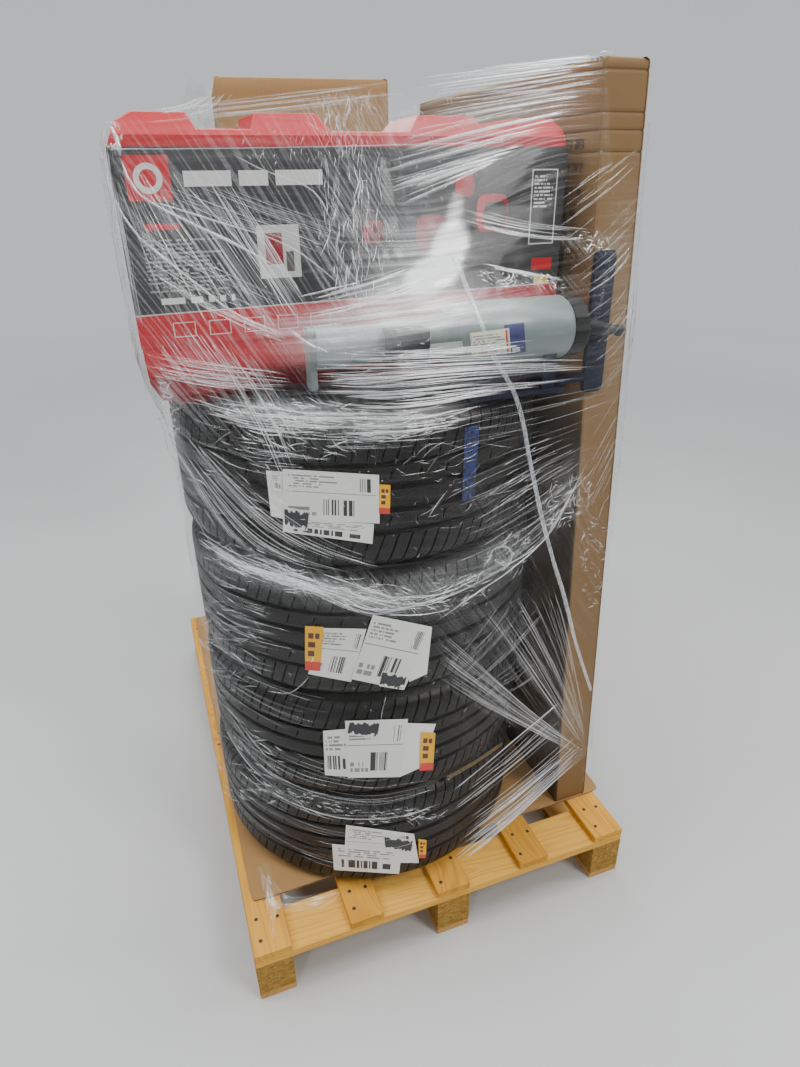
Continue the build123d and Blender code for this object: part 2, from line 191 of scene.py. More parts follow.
# ------------------------------------------------------------ node helpers
class Shader:
    """A Principled material under construction."""

    def __init__(self, name):
        self.m = bpy.data.materials.new(name)
        self.m.use_nodes = True
        self.t = self.m.node_tree
        self.t.nodes.clear()
        self.out = self.t.nodes.new("ShaderNodeOutputMaterial")
        self.b = self.t.nodes.new("ShaderNodeBsdfPrincipled")
        self.t.links.new(self.b.outputs[0], self.out.inputs[0])
        self._obj = None

    def put(self, sock, v):
        if isinstance(v, bpy.types.NodeSocket):
            self.t.links.new(v, sock)
        elif sock.type == "RGBA" and len(v) == 3:
            sock.default_value = (*v, 1.0)
        else:
            sock.default_value = v

    def set(self, **kw):
        for k, v in kw.items():
            self.put(self.b.inputs[k.replace("_", " ")], v)
        return self

    def node(self, kind, props=None, **inputs):
        n = self.t.nodes.new("ShaderNode" + kind)
        for k, v in (props or {}).items():
            setattr(n, k, v)
        for k, v in inputs.items():
            self.put(n.inputs[k.replace("_", " ")], v)
        return n

    def obj(self):
        if self._obj is None:
            self._obj = self.node("TexCoord").outputs["Object"]
        return self._obj

    def uv(self):
        return self.node("UVMap", {"uv_map": "map"}).outputs[0]

    def attr(self, name, out="Fac"):
        return self.node("Attribute", {"attribute_name": name}).outputs[out]

    def xyz(self, v):
        s = self.node("SeparateXYZ", Vector=v)
        return s.outputs[0], s.outputs[1], s.outputs[2]

    def vec(self, x, y, z=0.0):
        n = self.node("CombineXYZ")
        self.put(n.inputs[0], x)
        self.put(n.inputs[1], y)
        self.put(n.inputs[2], z)
        return n.outputs[0]

    def map(self, v, scale=(1, 1, 1), loc=(0, 0, 0), rot=(0, 0, 0)):
        n = self.node("Mapping", Vector=v)
        n.inputs["Scale"].default_value = scale
        n.inputs["Location"].default_value = loc
        n.inputs["Rotation"].default_value = rot
        return n.outputs[0]

    def noise(self, v, scale=5.0, detail=2.0, rough=0.5, dist=0.0):
        n = self.node("TexNoise", Vector=v)
        n.inputs["Scale"].default_value = scale
        n.inputs["Detail"].default_value = detail
        n.inputs["Roughness"].default_value = rough
        n.inputs["Distortion"].default_value = dist
        return n.outputs["Fac"]

    def white(self, v):
        return self.node("TexWhiteNoise", {"noise_dimensions": "3D"}, Vector=v).outputs["Value"]

    def voronoi(self, v, scale=5.0, feature="F1", rand=1.0, out="Distance"):
        n = self.node("TexVoronoi", {"feature": feature}, Vector=v)
        n.inputs["Scale"].default_value = scale
        n.inputs["Randomness"].default_value = rand
        return n.outputs[out]

    def math(self, op, a, b=0.0, c=0.0, clamp=False):
        n = self.node("Math", {"operation": op, "use_clamp": clamp})
        self.put(n.inputs[0], a)
        self.put(n.inputs[1], b)
        self.put(n.inputs[2], c)
        return n.outputs[0]

    def vmath(self, op, a, b=(0, 0, 0)):
        n = self.node("VectorMath", {"operation": op})
        self.put(n.inputs[0], a)
        self.put(n.inputs[1], b)
        return n.outputs[0]

    def ramp(self, fac, stops, mode="LINEAR"):
        n = self.node("ValToRGB", Fac=fac)
        cr = n.color_ramp
        cr.interpolation = mode
        while len(cr.elements) < len(stops):
            cr.elements.new(0.5)
        for e, (pos, col) in zip(cr.elements, stops):
            e.position = pos
            e.color = (*col, 1.0) if isinstance(col, (tuple, list)) else (col, col, col, 1.0)
        return n.outputs["Color"]

    def step(self, fac, lo, hi):
        """0 below lo, 1 above hi, smooth between."""
        n = self.node("MapRange", {"interpolation_type": "SMOOTHSTEP"}, Value=fac)
        n.inputs["From Min"].default_value = lo
        n.inputs["From Max"].default_value = hi
        return n.outputs["Result"]

    def mix(self, fac, a, b, blend="MIX"):
        n = self.node("Mix", {"data_type": "RGBA", "blend_type": blend})
        self.put(n.inputs[0], fac)
        self.put(n.inputs[6], a)
        self.put(n.inputs[7], b)
        return n.outputs[2]

    def mixf(self, fac, a, b):
        n = self.node("Mix", {"data_type": "FLOAT"})
        self.put(n.inputs[0], fac)
        self.put(n.inputs[2], a)
        self.put(n.inputs[3], b)
        return n.outputs[0]

    def bump(self, height, strength=0.5, dist=0.001, normal=None):
        n = self.node("Bump", Height=height)
        n.inputs["Strength"].default_value = strength
        n.inputs["Distance"].default_value = dist
        if normal is not None:
            self.put(n.inputs["Normal"], normal)
        return n.outputs[0]

    # printed areas ------------------------------------------------------
    def rect(self, u, v, r):
        """1 inside the rectangle r = (u0, v0, u1, v1)."""
        a = self.math("GREATER_THAN", u, r[0])
        b = self.math("LESS_THAN", u, r[2])
        c = self.math("GREATER_THAN", v, r[1])
        d = self.math("LESS_THAN", v, r[3])
        return self.math("MULTIPLY", self.math("MULTIPLY", a, b), self.math("MULTIPLY", c, d))

    def frame(self, u, v, r, w):
        outer = self.rect(u, v, r)
        inner = self.rect(u, v, (r[0] + w, r[1] + w, r[2] - w, r[3] - w))
        return self.math("SUBTRACT", outer, inner, clamp=True)

    def barcode(self, u, v, r, n, seed=0.0, along="u"):
        """Upright bars of two widths inside r."""
        s = u if along == "u" else v
        lo, hi = (r[0], r[2]) if along == "u" else (r[1], r[3])
        cell = self.math("FLOOR", self.math("MULTIPLY", self.math("SUBTRACT", s, lo), n / (hi - lo)))
        on = self.math("GREATER_THAN", self.white(self.vec(cell, seed, 3.7)), 0.47)
        return self.math("MULTIPLY", on, self.rect(u, v, r))

    def lines(self, u, v, r, rows, cells, seed=0.0, fill=0.55):
        """Rows of plain dashes inside r, as greeked print."""
        fv = self.math("MULTIPLY", self.math("SUBTRACT", v, r[1]), rows / (r[3] - r[1]))
        row = self.math("FLOOR", fv)
        inrow = self.math("LESS_THAN", self.math("FRACT", fv), fill)
        cell = self.math("FLOOR", self.math("MULTIPLY", self.math("SUBTRACT", u, r[0]), cells / (r[2] - r[0])))
        word = self.math("GREATER_THAN", self.white(self.vec(cell, row, seed)), 0.24)
        end = self.math("LESS_THAN", self.math("DIVIDE", self.math("SUBTRACT", u, r[0]), r[2] - r[0]),
                        self.math("ADD", 0.55, self.math("MULTIPLY", 0.45, self.white(self.vec(row, seed, 9.1)))))
        return self.math("MULTIPLY", self.math("MULTIPLY", word, inrow), self.math("MULTIPLY", end, self.rect(u, v, r)))


# ---------------------------------------------------------------- materials
def wood(name, seed, along="Y", light=(0.385, 0.166, 0.006), dark=(0.225, 0.075, 0.003), pale=0.0, knots=1.0):
    """Softwood board: growth lines that run along it and bend round knots."""
    s = Shader(name)
    r = np.random.default_rng(seed)
    off = tuple(float(x) for x in r.uniform(-9, 9, 3))
    p = s.map(s.obj(), loc=off)
    st = {"Y": (1, 0.10, 1), "X": (0.10, 1, 1), "Z": (1, 1, 0.10)}[along]
    q = s.map(p, scale=st)
    fine = {"Y": (1, 0.022, 1), "X": (0.022, 1, 1), "Z": (1, 1, 0.022)}[along]
    qf = s.map(p, scale=fine)
    kn = {"Y": (1, 0.42, 0.35), "X": (0.42, 1, 0.35), "Z": (1, 1, 0.3)}[along]
    kd = s.voronoi(s.map(p, scale=kn), scale=8.5, rand=0.95)
    knot = s.math("MULTIPLY", s.math("SUBTRACT", 1.0, s.step(kd, 0.035, 0.11)), knots)
    near = s.math("SUBTRACT", 1.0, s.step(kd, 0.05, 0.42))
    base = s.noise(q, scale=9.0, detail=2.0, dist=0.6)
    field = s.math("ADD", s.math("MULTIPLY", base, 30.0), s.math("MULTIPLY", near, 9.0 * knots))
    ring = s.math("MULTIPLY", s.math("ADD", s.math("SINE", s.math("MULTIPLY", field, 3.6)), 1.0), 0.5)
    ring = s.math("POWER", ring, 2.2)
    fibre = s.noise(qf, scale=420.0, detail=3.0, rough=0.6)
    blotch = s.noise(p, scale=7.0, detail=3.0)
    col = s.mix(s.math("MULTIPLY", ring, 0.55), light, dark)
    col = s.mix(s.math("MULTIPLY", s.math("SUBTRACT", fibre, 0.45), 0.9, clamp=True), col, tuple(c * 0.55 for c in dark))
    col = s.mix(s.math("MULTIPLY", blotch, 0.35), col, (0.46, 0.190, 0.026))
    if pale:
        col = s.mix(pale, col, (0.80, 0.47, 0.105))
    col = s.mix(s.math("MULTIPLY", knot, 0.85), col, (0.115, 0.043, 0.016))
    grime = s.step(s.noise(s.map(p, scale=(1, 0.5, 1)), scale=16.0, detail=4.0, rough=0.65), 0.60, 0.80)
    col = s.mix(s.math("MULTIPLY", grime, 0.32), col, (0.18, 0.100, 0.038))
    s.set(Base_Color=col, Specular_IOR_Level=0.14)
    rough = s.math("ADD", 0.62, s.math("MULTIPLY", fibre, 0.22))
    s.set(Roughness=rough)
    h = s.math("ADD", s.math("MULTIPLY", fibre, 0.8), s.math("MULTIPLY", ring, 0.35))
    s.set(Normal=s.bump(h, 0.55, 0.0012))
    return s.m


def chipblock(name, seed):
    """Pressed block: flat chips of mixed browns bound together."""
    s = Shader(name)
    r = np.random.default_rng(seed)
    off = tuple(float(x) for x in r.uniform(-5, 5, 3))
    p = s.map(s.obj(), loc=off)
    warp = s.noise(p, scale=45.0, detail=2.0)
    q = s.vmath("ADD", s.map(p, scale=(1, 1, 2.6)), s.vec(s.math("MULTIPLY", warp, 0.012), s.math("MULTIPLY", warp, 0.01), 0.0))
    cells = s.voronoi(q, scale=150.0, out="Color")
    cr, cg, cb = s.xyz(cells)
    edge = s.voronoi(q, scale=150.0, feature="DISTANCE_TO_EDGE")
    col = s.ramp(cr, [(0.0, (0.27, 0.135, 0.022)), (0.35, (0.37, 0.195, 0.032)), (0.7, (0.42, 0.245, 0.048)), (1.0, (0.48, 0.31, 0.085))])
    gap = s.math("SUBTRACT", 1.0, s.step(edge, 0.0, 0.085))
    col = s.mix(s.math("MULTIPLY", gap, 0.34), col, (0.15, 0.072, 0.018))
    fib = s.noise(s.map(p, scale=(1, 1, 0.1)), scale=600.0, detail=2.0)
    col = s.mix(s.math("MULTIPLY", fib, 0.2), col, (0.30, 0.17, 0.07))
    s.set(Base_Color=col, Specular_IOR_Level=0.14, Roughness=s.math("ADD", 0.7, s.math("MULTIPLY", cg, 0.2)))
    h = s.math("ADD", s.math("MULTIPLY", s.step(edge, 0.0, 0.16), 0.8), s.math("MULTIPLY", cb, 0.7))
    s.set(Normal=s.bump(h, 0.6, 0.0011))
    return s.m


def kraft(name, seed, flute=(150.0, 0.0, 0.0), tone=(0.40, 0.235, 0.118), second=(0.33, 0.19, 0.092), extra=None):
    """Kraft board: soft mottling, short fibres and the faint line of its flutes."""
    s = Shader(name)
    r = np.random.default_rng(seed)
    off = tuple(float(x) for x in r.uniform(-5, 5, 3))
    p = s.map(s.obj(), loc=off)
    mott = s.noise(p, scale=9.0, detail=4.0, rough=0.6)
    fib = s.noise(s.map(p, scale=(1, 1, 0.35)), scale=520.0, detail=3.0, rough=0.7)
    speck = s.step(s.noise(p, scale=900.0, detail=1.0), 0.68, 0.76)
    x, y, z = s.xyz(s.obj())
    ph = s.math("ADD", s.math("ADD", s.math("MULTIPLY", x, flute[0]), s.math("MULTIPLY", y, flute[1])), s.math("MULTIPLY", z, flute[2]))
    fl = s.math("MULTIPLY", s.math("ADD", s.math("SINE", s.math("MULTIPLY", ph, 6.2832)), 1.0), 0.5)
    col = s.mix(mott, tone, second)
    col = s.mix(s.math("MULTIPLY", fib, 0.30), col, tuple(c * 1.28 for c in tone))
    col = s.mix(s.math("MULTIPLY", speck, 0.35), col, tuple(c * 0.4 for c in second))
    col = s.mix(s.math("MULTIPLY", fl, 0.035), col, tuple(c * 0.72 for c in second))
    scuff = s.step(s.noise(s.map(p, scale=(1, 1, 0.22)), scale=26.0, detail=5.0, rough=0.7), 0.63, 0.78)
    col = s.mix(s.math("MULTIPLY", scuff, 0.28), col, (0.60, 0.42, 0.27))
    if extra:
        col = extra(s, col)
    s.set(Base_Color=col, Roughness=s.math("ADD", 0.72, s.math("MULTIPLY", fib, 0.16)))
    h = s.math("ADD", s.math("MULTIPLY", fl, 0.20), s.math("ADD", s.math("MULTIPLY", fib, 0.4), s.math("MULTIPLY", mott, 0.9)))
    s.set(Normal=s.bump(h, 0.35, 0.0012))
    return s.m


def rubber(name, seed=1):
    s = Shader(name)
    p = s.map(s.obj(), loc=(seed * 1.7, seed * 0.9, seed * 3.1))
    a = s.noise(p, scale=14.0, detail=4.0, rough=0.6)
    g = s.noise(p, scale=900.0, detail=2.0)
    dust = s.step(s.noise(s.map(p, scale=(1, 1, 0.4)), scale=30.0, detail=5.0, rough=0.7), 0.55, 0.80)
    col = s.mix(a, (0.0058, 0.0052, 0.0048), (0.0118, 0.0104, 0.0092))
    col = s.mix(s.math("MULTIPLY", dust, 0.22), col, (0.070, 0.054, 0.040))
    s.set(Base_Color=col)
    s.set(Specular_IOR_Level=0.34)
    s.set(Roughness=s.math("ADD", 0.40, s.math("ADD", s.math("MULTIPLY", a, 0.18), s.math("MULTIPLY", dust, 0.16))))
    s.set(Normal=s.bump(s.math("ADD", g, s.math("MULTIPLY", a, 0.6)), 0.16, 0.0006))
    return s.m


def moulded(name, col_a, col_b, rough=0.36, grain=1300.0, depth=0.25, coat=0.0, dirt=0.18, sheen=0.5, shade_from_z=None):
    """Moulded or painted hard surface with a fine texture, scuffs and a little dust, and, when asked, painted shade on
    its lowest part.
    """
    s = Shader(name)
    p = s.obj()
    a = s.noise(p, scale=6.0, detail=3.0)
    g = s.voronoi(p, scale=grain)
    sc = s.step(s.noise(s.map(p, scale=(0.25, 1, 1), rot=(0.3, 0.5, 0.2)), scale=90.0, detail=4.0, rough=0.75), 0.64, 0.74)
    d = s.step(s.noise(p, scale=18.0, detail=5.0, rough=0.68), 0.52, 0.80)
    col = s.mix(a, col_a, col_b)
    col = s.mix(s.math("MULTIPLY", sc, 0.20), col, tuple(min(1.0, c * 1.5 + 0.06) for c in col_a))
    col = s.mix(s.math("MULTIPLY", d, dirt), col, (0.22, 0.19, 0.165))
    s.set(Base_Color=col, Roughness=s.math("ADD", rough, s.math("ADD", s.math("MULTIPLY", sc, 0.18), s.math("MULTIPLY", d, 0.14))))
    s.set(Specular_IOR_Level=sheen)
    if shade_from_z:
        # painted shade: the lowest 35 to 80 mm of the piece turn dark, for the shade under its rounded lower edge
        z = s.xyz(p)[2]
        painted_shade_low = s.math("MULTIPLY", s.math("SUBTRACT", 1.0, s.step(z, shade_from_z + 0.035, shade_from_z + 0.080)), s.math("ADD", 0.55, s.math("MULTIPLY", a, 0.4)))
        s.set(Base_Color=s.mix(painted_shade_low, col, tuple(c * 0.26 for c in col_a)))
    if coat:
        s.set(Coat_Weight=coat, Coat_Roughness=0.12)
    s.set(Normal=s.bump(s.math("ADD", g, s.math("MULTIPLY", sc, -0.6)), depth, 0.0005))
    return s.m


def metal(name, col=(0.42, 0.42, 0.44), rough=0.34):
    s = Shader(name)
    p = s.obj()
    n = s.noise(s.map(p, scale=(1, 1, 0.1)), scale=500.0, detail=3.0)
    s.set(Base_Color=s.mix(n, col, tuple(c * 0.6 for c in col)), Metallic=1.0)
    s.set(Roughness=s.math("ADD", rough, s.math("MULTIPLY", n, 0.2)), Normal=s.bump(n, 0.15, 0.0004))
    return s.m


# ------------------------------------------------------------- floor, light
def build_stage():
    s = Shader("floor_paint")
    p = s.obj()
    a = s.noise(p, scale=1.3, detail=2.0, rough=0.55)
    f = s.noise(p, scale=220.0, detail=0.0)
    col = s.mix(a, (0.54, 0.55, 0.55), (0.49, 0.50, 0.50))
    s.set(Base_Color=col, Roughness=s.math("ADD", 0.55, s.math("MULTIPLY", f, 0.2)))
    x, y, z = s.xyz(p)
    far = s.math("SQRT", s.math("ADD", s.math("MULTIPLY", x, x), s.math("MULTIPLY", y, y)))
    s.set(Emission_Color=(0.372, 0.384, 0.400), Emission_Strength=s.math("MULTIPLY", s.step(far, 1.6, 6.5), 1.15))
    n = 96

    def disc(name, ring, centre):
        verts, faces = ([(0, 0, 0)] if centre else []), []
        for k, (rr, zz) in enumerate(ring):
            verts += [(rr * math.cos(2 * math.pi * i / n), rr * math.sin(2 * math.pi * i / n), zz) for i in range(n)]
            for i in range(n):
                a0, a1 = int(centre) + k * n + i, int(centre) + k * n + (i + 1) % n
                if k:
                    faces.append((a0 - n, a0, a1, a1 - n))
                elif centre:
                    faces.append((0, a0, a1))
        ob = mesh_piece(name, verts, faces, [s.m], smooth=True)
        return ob

    disc("floor", [(1.2, 0.0), (2.6, 0.0), (3.6, 0.0)], True)
    ring = [(3.6, 0.0), (5.0, 0.0), (6.5, 0.0)]
    ring += [(6.5 + 1.6 * math.sin(t), 1.6 - 1.6 * math.cos(t)) for t in np.linspace(0.15, math.pi / 2, 10)]
    ring += [(8.1, 3.0), (8.1, 5.0), (8.1, 9.0), (8.1, 14.0)]
    wall = disc("backdrop", ring, False)
    wall.visible_diffuse = False
    wall.visible_glossy = False

    w = bpy.data.worlds.new("studio")
    bpy.context.scene.world = w
    w.use_nodes = True
    bg = w.node_tree.nodes["Background"]
    bg.inputs["Color"].default_value = (0.86, 0.90, 0.95, 1)
    bg.inputs["Strength"].default_value = 0.13

    def area(name, loc, target, size, size_y, power, col=(1, 1, 1)):
        d = bpy.data.lights.new(name, "AREA")
        d.shape = "RECTANGLE"
        d.size, d.size_y = size, size_y
        d.energy = power
        d.color = col
        o = bpy.data.objects.new(name, d)
        bpy.context.scene.collection.objects.link(o)
        o.location = loc
        o.rotation_euler = (Vector(target) - Vector(loc)).to_track_quat("-Z", "Y").to_euler()
        return o

    area("soft_key", (1.5, -2.9, 3.4), (0.0, -0.2, 0.9), 1.0, 1.0, 88.0, (1.0, 0.98, 0.95))
    area("soft_left", (-3.0, 0.5, 3.3), (0.0, 0.0, 0.8), 1.4, 1.4, 66.0, (0.95, 0.97, 1.0))
    area("soft_back", (0.6, 3.2, 3.0), (0.0, 0.0, 0.9), 1.8, 1.4, 42.0, (0.95, 0.97, 1.0))
    area("strip_1", (-0.9, -0.4, 3.6), (-0.2, -0.2, 0.0), 0.22, 2.6, 30.0)
    area("strip_2", (0.7, -0.2, 3.6), (0.1, -0.1, 0.0), 0.22, 2.6, 30.0)
    area("strip_3", (-2.4, -3.4, 2.7), (-0.2, -0.3, 0.7), 0.14, 2.2, 34.0)
    area("strip_4", (2.6, -1.2, 2.9), (0.1, -0.2, 0.8), 0.14, 2.4, 30.0)
    area("top_soft", (0.0, 0.0, 5.4), (0.0, 0.0, 0.0), 4.6, 4.6, 230.0)


build_stage()

# ------------------------------------------------------------------- pallet
COL_NAIL = metal("nail_zinc", (0.115, 0.098, 0.080), 0.50)


def soften(node, width=0.0016, segs=2):
    """Rounded arrises on a CAD piece: welded, then bevelled; its mesh is left alone."""
    w = node.modifiers.new("weld", "WELD")
    w.merge_threshold = 0.00005
    b = node.modifiers.new("arris", "BEVEL")
    b.width = width
    b.segments = segs
    b.limit_method = "ANGLE"
    b.angle_limit = math.radians(40)
    b.harden_normals = False


def paint_node(name, mat):
    ob = NODES[name]
    ob.data.materials.clear()
    ob.data.materials.append(mat)
    return ob


tones = {
    1: ((0.76, 0.385, 0.062), (0.47, 0.202, 0.027), 0.10),
    2: ((0.70, 0.342, 0.044), (0.43, 0.180, 0.020), 0.0),
    3: ((0.71, 0.355, 0.050), (0.44, 0.190, 0.024), 0.0),
    4: ((0.64, 0.318, 0.041), (0.39, 0.162, 0.018), 0.0),
    5: ((0.78, 0.388, 0.052), (0.47, 0.202, 0.024), 0.06),
}
for i in range(1, 6):
    lt, dk, pl = tones[i]
    soften(paint_node(f"deck_board_{i}", wood(f"pine_deck_{i}", 10 + i, "Y", lt, dk, pl)))
for k, side in enumerate(("front", "middle", "back")):
    soften(paint_node(f"cross_board_{side}", wood(f"pine_cross_{side}", 30 + k, "X", (0.82, 0.445, 0.074), (0.55, 0.262, 0.036), 0.16, 0.8)))
    for j, lane in enumerate(("left", "centre", "right")):
        soften(paint_node(f"block_{side}_{lane}", chipblock(f"chip_{side}_{lane}", 50 + 3 * k + j)), 0.0012)
for j, lane in enumerate(("left", "centre", "right")):
    soften(paint_node(f"bottom_board_{lane}", wood(f"pine_bottom_{lane}", 70 + j, "Y", (0.62, 0.365, 0.130), (0.39, 0.185, 0.052), 0.0)))


def build_nails():
    """Flat nail heads, sunk a little, where each deck board crosses a cross board."""
    verts, faces = [], []
    rows = []
    for i in range(1, 6):
        lo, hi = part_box(f"deck_board_{i}")
        for side in ("front", "middle", "back"):
            clo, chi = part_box(f"cross_board_{side}")
            cx, cy = (lo.x + hi.x) / 2, (clo.y + chi.y) / 2
            for sx, sy in ((-0.019, -0.022), (0.019, 0.022), (-0.017, 0.024)):
                jx, jy = RNG.uniform(-0.004, 0.004, 2)
                rows.append((cx + sx + jx, cy + sy + jy, hi.z))
    n = 14
    for x, y, z in rows:
        r = 0.0037
        tx, ty = RNG.uniform(-0.06, 0.06, 2)
        base = len(verts)
        for rr, dz in ((r * 1.08, -0.0012), (r, 0.0002), (r * 0.86, 0.0006), (r * 0.35, 0.0007)):
            for k in range(n):
                a = 2 * math.pi * k / n
                px, py = rr * math.cos(a), rr * math.sin(a)
                verts.append((x + px, y + py, z + dz + tx * px + ty * py))
        for ring in range(3):
            for k in range(n):
                a0, a1 = base + ring * n + k, base + ring * n + (k + 1) % n
                faces.append((a0, a1, a1 + n, a0 + n))
        faces.append(tuple(base + 3 * n + k for k in range(n)))
    ob = mesh_piece("nail_heads", verts, faces, [COL_NAIL])
    auto_smooth(ob, 40)
    settle(ob)


build_nails()


# ------------------------------------------------------------- layer sheet
def build_sheet():
    lo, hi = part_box("layer_sheet")
    nx, ny = 90, 120
    xs, ys = np.linspace(lo.x, hi.x, nx), np.linspace(lo.y, hi.y, ny)
    X, Y = np.meshgrid(xs, ys)
    ex = np.minimum(X - lo.x, hi.x - X)
    ey = np.minimum(Y - lo.y, hi.y - Y)
    # worn outline: the rim wanders by a millimetre or two, corners are blunted
    wob = (fbm(X * 22 + 3, Y * 22 + 9, 5) - 0.5) * 0.006
    nearx, neary = np.exp(-ex / 0.01), np.exp(-ey / 0.01)
    corner = np.exp(-(ex + ey) / 0.012)
    Xs = X - np.sign(X - (lo.x + hi.x) / 2) * (np.abs(wob) * nearx + 0.004 * corner)
    Ys = Y - np.sign(Y - (lo.y + hi.y) / 2) * (np.abs(wob) * neary + 0.004 * corner)
    edge = np.minimum(ex, ey)
    lift = np.exp(-edge / 0.05) * (fbm(X * 5, Y * 5, 12) - 0.25) * 0.0055
    dent = -np.exp(-edge / 0.012) * np.clip(fbm(X * 30, Y * 30, 21) - 0.5, 0, 1) * 0.004
    top = hi.z - 0.0006 + np.clip(lift, -0.0008, 0.004) + dent
    bot = np.maximum(lo.z + np.clip(lift, 0, 0.004) * 0.9, lo.z + 0.0001)
    v = np.concatenate([
        np.stack([Xs, Ys, top], -1).reshape(-1, 3),
        np.stack([Xs, Ys, bot], -1).reshape(-1, 3),
    ])
    n = nx * ny
    f = [tuple(q) for q in grid_faces(nx, ny)]
    f += [tuple(q) for q in grid_faces(nx, ny, base=n, flip=True)]
    ring = [j for j in range(nx)] + [nx - 1 + nx * j for j in range(1, ny)] + \
           [nx * (ny - 1) + j for j in range(nx - 2, -1, -1)] + [nx * j for j in range(ny - 2, 0, -1)]
    fm = [0] * len(f)
    for a, b in zip(ring, ring[1:] + ring[:1]):
        f.append((a, a + n, b + n, b))
        fm.append(1)
    face = kraft("kraft_sheet", 3, (0.0, 165.0, 0.0), (0.36, 0.205, 0.072), (0.29, 0.160, 0.054))
    # cut edge: two liners with the fluting between them, and painted shade in the hollows between the flutes
    s = Shader("kraft_cut_edge")
    x, y, z = s.xyz(s.obj())
    t = s.math("MULTIPLY", s.math("SUBTRACT", z, lo.z), 1.0 / (hi.z - lo.z))
    wavy = s.math("MULTIPLY", s.math("SINE", s.math("MULTIPLY", s.math("ADD", x, y), 860.0)), 0.33)
    on = s.math("SUBTRACT", 1.0, s.step(s.math("ABSOLUTE", s.math("SUBTRACT", s.math("SUBTRACT", t, 0.5), wavy)), 0.10, 0.2))
    liner = s.math("ADD", s.math("LESS_THAN", t, 0.13), s.math("GREATER_THAN", t, 0.87), clamp=True)
    m = s.math("MAXIMUM", on, liner)
    nn = s.noise(s.obj(), scale=300.0, detail=3.0)
    # the dark between liners and fluting is painted shade in the flute hollows
    s.set(Base_Color=s.mix(m, s.mix(nn, (0.11, 0.062, 0.03), (0.16, 0.09, 0.045)), (0.52, 0.34, 0.18)), Roughness=0.9)
    s.set(Normal=s.bump(s.math("ADD", m, s.math("MULTIPLY", nn, 0.4)), 0.8, 0.0015))
    ob = mesh_piece("layer_sheet_board", v, f, [face, s.m], face_mat=fm)
    auto_smooth(ob, 40)
    settle(ob, ["layer_sheet"])


build_sheet()

# -------------------------------------------------------------------- tyres
TYRE_R, BEAD_R = 0.3235, 0.2413
TYRE_Z = [0.131, 0.368, 0.602, 0.850, 1.099]
TYRE_C = [(-0.062, -0.232), (-0.056, -0.235), (-0.054, -0.239), (-0.056, -0.236)]


def tyre_profile(h):
    """Outer section of half height h from the lower bead to the upper bead, and
    which rows belong to grooves. Returns (radius, height, kind)."""
    R, B = TYRE_R, BEAD_R
    half = h
    side = [
        (B, h - 0.030), (B + 0.0015, h - 0.016), (B + 0.006, h - 0.0065), (B + 0.0125, h - 0.0025),
        (B + 0.019, h - 0.0006), (B + 0.0235, h - 0.0004), (B + 0.0245, h - 0.0022), (B + 0.0275, h - 0.0022),
        (B + 0.0285, h - 0.0002), (B + 0.036, h - 0.0002), (B + 0.044, h - 0.0006), (B + 0.050, h - 0.0020),
        (B + 0.0515, h - 0.0034), (B + 0.0545, h - 0.0036), (B + 0.056, h - 0.0036),
        (R - 0.021, h - 0.0075), (R - 0.0155, h - 0.0100),
    ]
    shoulder = [(R - 0.0105, h - 0.0138), (R - 0.0065, h - 0.0180), (R - 0.0036, h - 0.0228),
                (R - 0.0018, h - 0.0285), (R - 0.0007, h - 0.0350), (R - 0.0001, h - 0.0420)]
    # crown: four grooves, positions as a share of the flat half width
    w = half - 0.042
    crown_up = [(-0.66 * w, 0.0088), (-0.22 * w, 0.0108), (0.22 * w, 0.0108), (0.66 * w, 0.0088)]
    prof = []
    for r, z in side:
        prof.append((r, -z, "s"))
    for r, z in shoulder:
        prof.append((r, -z, "h"))
    last = -w
    marks = []
    for c, gw in crown_up:
        marks.append(("rib", last, c - gw / 2))
        marks.append(("groove", c - gw / 2, c + gw / 2))
        last = c + gw / 2
    marks.append(("rib", last, w))
    for kind, a, b in marks:
        if kind == "rib":
            n = 5 if (b - a) > 0.02 else 3
            for t in np.linspace(0, 1, n + 1)[1 if a == -w else 0:-1]:
                z = a + (b - a) * t
                prof.append((TYRE_R, z, "r"))
            if b != w:
                prof.append((TYRE_R - 0.0002, b - 0.0003, "r"))
        else:
            prof.append((TYRE_R - 0.0068, a + 0.0013, "g"))
            prof.append((TYRE_R - 0.0075, (a + b) / 2, "g"))
            prof.append((TYRE_R - 0.0068, b - 0.0013, "g"))
            prof.append((TYRE_R - 0.0002, b + 0.0003, "r"))
    for r, z in reversed(shoulder):
        prof.append((r, z, "h"))
    for r, z in reversed(side):
        prof.append((r, z, "s"))
    return prof


